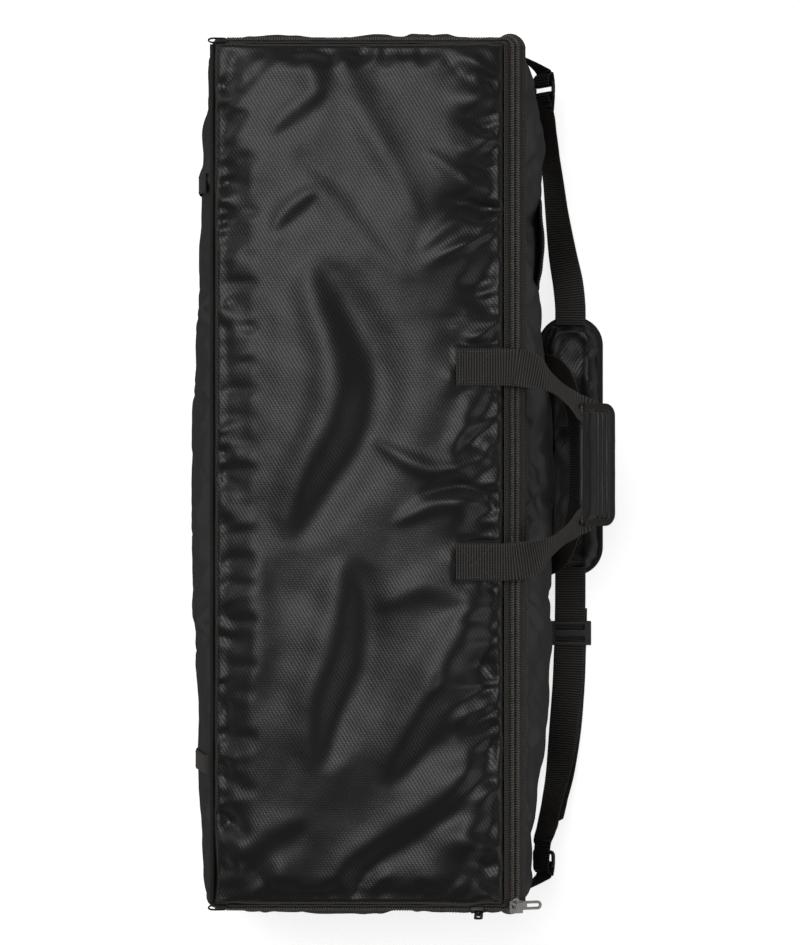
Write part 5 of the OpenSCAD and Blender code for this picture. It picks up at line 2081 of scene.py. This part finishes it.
        obj = bound_edge("shoulder_pad_binding", line - inward * 0.9, inward, np.array([0, 0, 1.0]), 7.5, 5.4,
                         closed=True)
        fit(dress(obj, self.finishes.binding), BODY_STRAP, Slot.WEBBING.value)
        seam = line + inward * 5.6
        rows = [(np.vstack([seam, seam[:1]]) + [0, 0, 2.75], np.array([0, 0, 1.0]))]
        fit(self.repeat.lay("shoulder_pad_stitches", rows, self.finishes.thread, 3.0, 2.3, 0.7, 0.55, 0, 8,
                            7), BODY_STRAP, Slot.WEBBING.value)

    def build(self) -> None:
        """Builds the strap."""
        self.rings()
        self.tabs()
        self.webs()
        self.pad()


# ---- studio ----------------------------------------------------------------


@dataclass
class Studio:
    """A pale floor, soft lamps, a light band round the horizon and a camera high over the lid."""

    centre: tuple[float, float] = (0.030, 0.0015)
    lid_z: float = 0.27
    height: float = 4.0
    view_height: float = 0.958
    sensor: float = 36.0

    def camera(self) -> None:
        """The camera, straight down on the lid."""
        data = bpy.data.cameras.new("camera")
        data.sensor_fit, data.sensor_width = "AUTO", self.sensor
        data.lens = self.sensor * self.height / self.view_height
        data.clip_start, data.clip_end = 0.1, 50
        obj = bpy.data.objects.new("camera", data)
        obj.location = (*self.centre, self.lid_z + self.height)
        bpy.context.scene.collection.objects.link(obj)
        bpy.context.scene.camera = obj

    def lamp(self, name: str, place: tuple[float, float, float], size: float, watts: float) -> None:
        """A square soft lamp that faces the case.

        Args:
            name: Lamp name.
            place: Where it hangs, in metres.
            size: Its side in metres.
            watts: Its power.
        """
        data = bpy.data.lights.new(name, "AREA")
        data.shape, data.size, data.energy = "SQUARE", size, watts
        obj = bpy.data.objects.new(name, data)
        obj.location = place
        obj.rotation_mode = "QUATERNION"
        obj.rotation_quaternion = (Vector(place) - Vector((0, 0, 0.2))).to_track_quat("Z", "Y")
        bpy.context.scene.collection.objects.link(obj)

    def build(self) -> None:
        """Builds the floor, the world, the lamps and the camera."""
        bm = bmesh.new()
        bmesh.ops.create_grid(bm, x_segments=1, y_segments=1, size=9.0)
        mesh = bpy.data.meshes.new("floor")
        bm.to_mesh(mesh)
        bm.free()
        floor = bpy.data.objects.new("floor", mesh)
        floor.location = (0, 0, -0.0006)
        bpy.context.scene.collection.objects.link(floor)
        material, _, shader = start_material("matt_white_sweep", Base_Color=linear("#f7f7f7"), Roughness=0.9)
        shader.inputs["Emission Color"].default_value = (1, 1, 1, 1)
        shader.inputs["Emission Strength"].default_value = 0.75
        dress(floor, material)
        floor.visible_glossy = floor.visible_diffuse = False
        world = bpy.data.worlds.new("studio")
        world.use_nodes = True
        tree = world.node_tree
        tree.nodes["Background"].inputs["Color"].default_value = (1, 1, 1, 1)
        height = add_node(tree, "ShaderNodeSeparateXYZ",
                          {0: add_node(tree, "ShaderNodeTexCoord").outputs["Generated"]}).outputs["Z"]
        low = add_node(tree, "ShaderNodeMapRange", {"Value": height, "From Min": -0.8, "From Max": -0.35,
                                                    "To Min": 0.0, "To Max": 0.45})
        high = add_node(tree, "ShaderNodeMapRange", {"Value": height, "From Min": 0.1, "From Max": 0.6,
                                                     "To Min": 1.0, "To Max": 0.0})
        band = add_node(tree, "ShaderNodeMath", {0: low.outputs[0], 1: high.outputs[0], 2: 0.06},
                        operation="MULTIPLY_ADD")
        tree.links.new(band.outputs[0], tree.nodes["Background"].inputs["Strength"])
        bpy.context.scene.world = world
        self.lamp("overhead", (-0.7, 1.1, 5.2), 2.3, 76)
        self.lamp("window", (-3.6, 2.2, 2.6), 2.2, 20)
        self.lamp("fill", (3.6, -1.6, 2.6), 2.2, 18)
        self.camera()
        bpy.context.scene.view_settings.view_transform = "Standard"


def main() -> None:
    """Builds the case in order."""
    logging.basicConfig(level=logging.INFO, format="%(name)s: %(message)s")
    Studio().build()
    finishes, repeat = Finishes(), Repeat()
    shell = Shell(finishes, repeat)
    shell.build()
    Lid(finishes, repeat).build()
    Zip(finishes, repeat).build()
    Trimmings(finishes, repeat, shell).build()
    Handles(finishes, repeat).build()
    Strap(finishes, repeat).build()


if __name__ == "__main__":
    main()
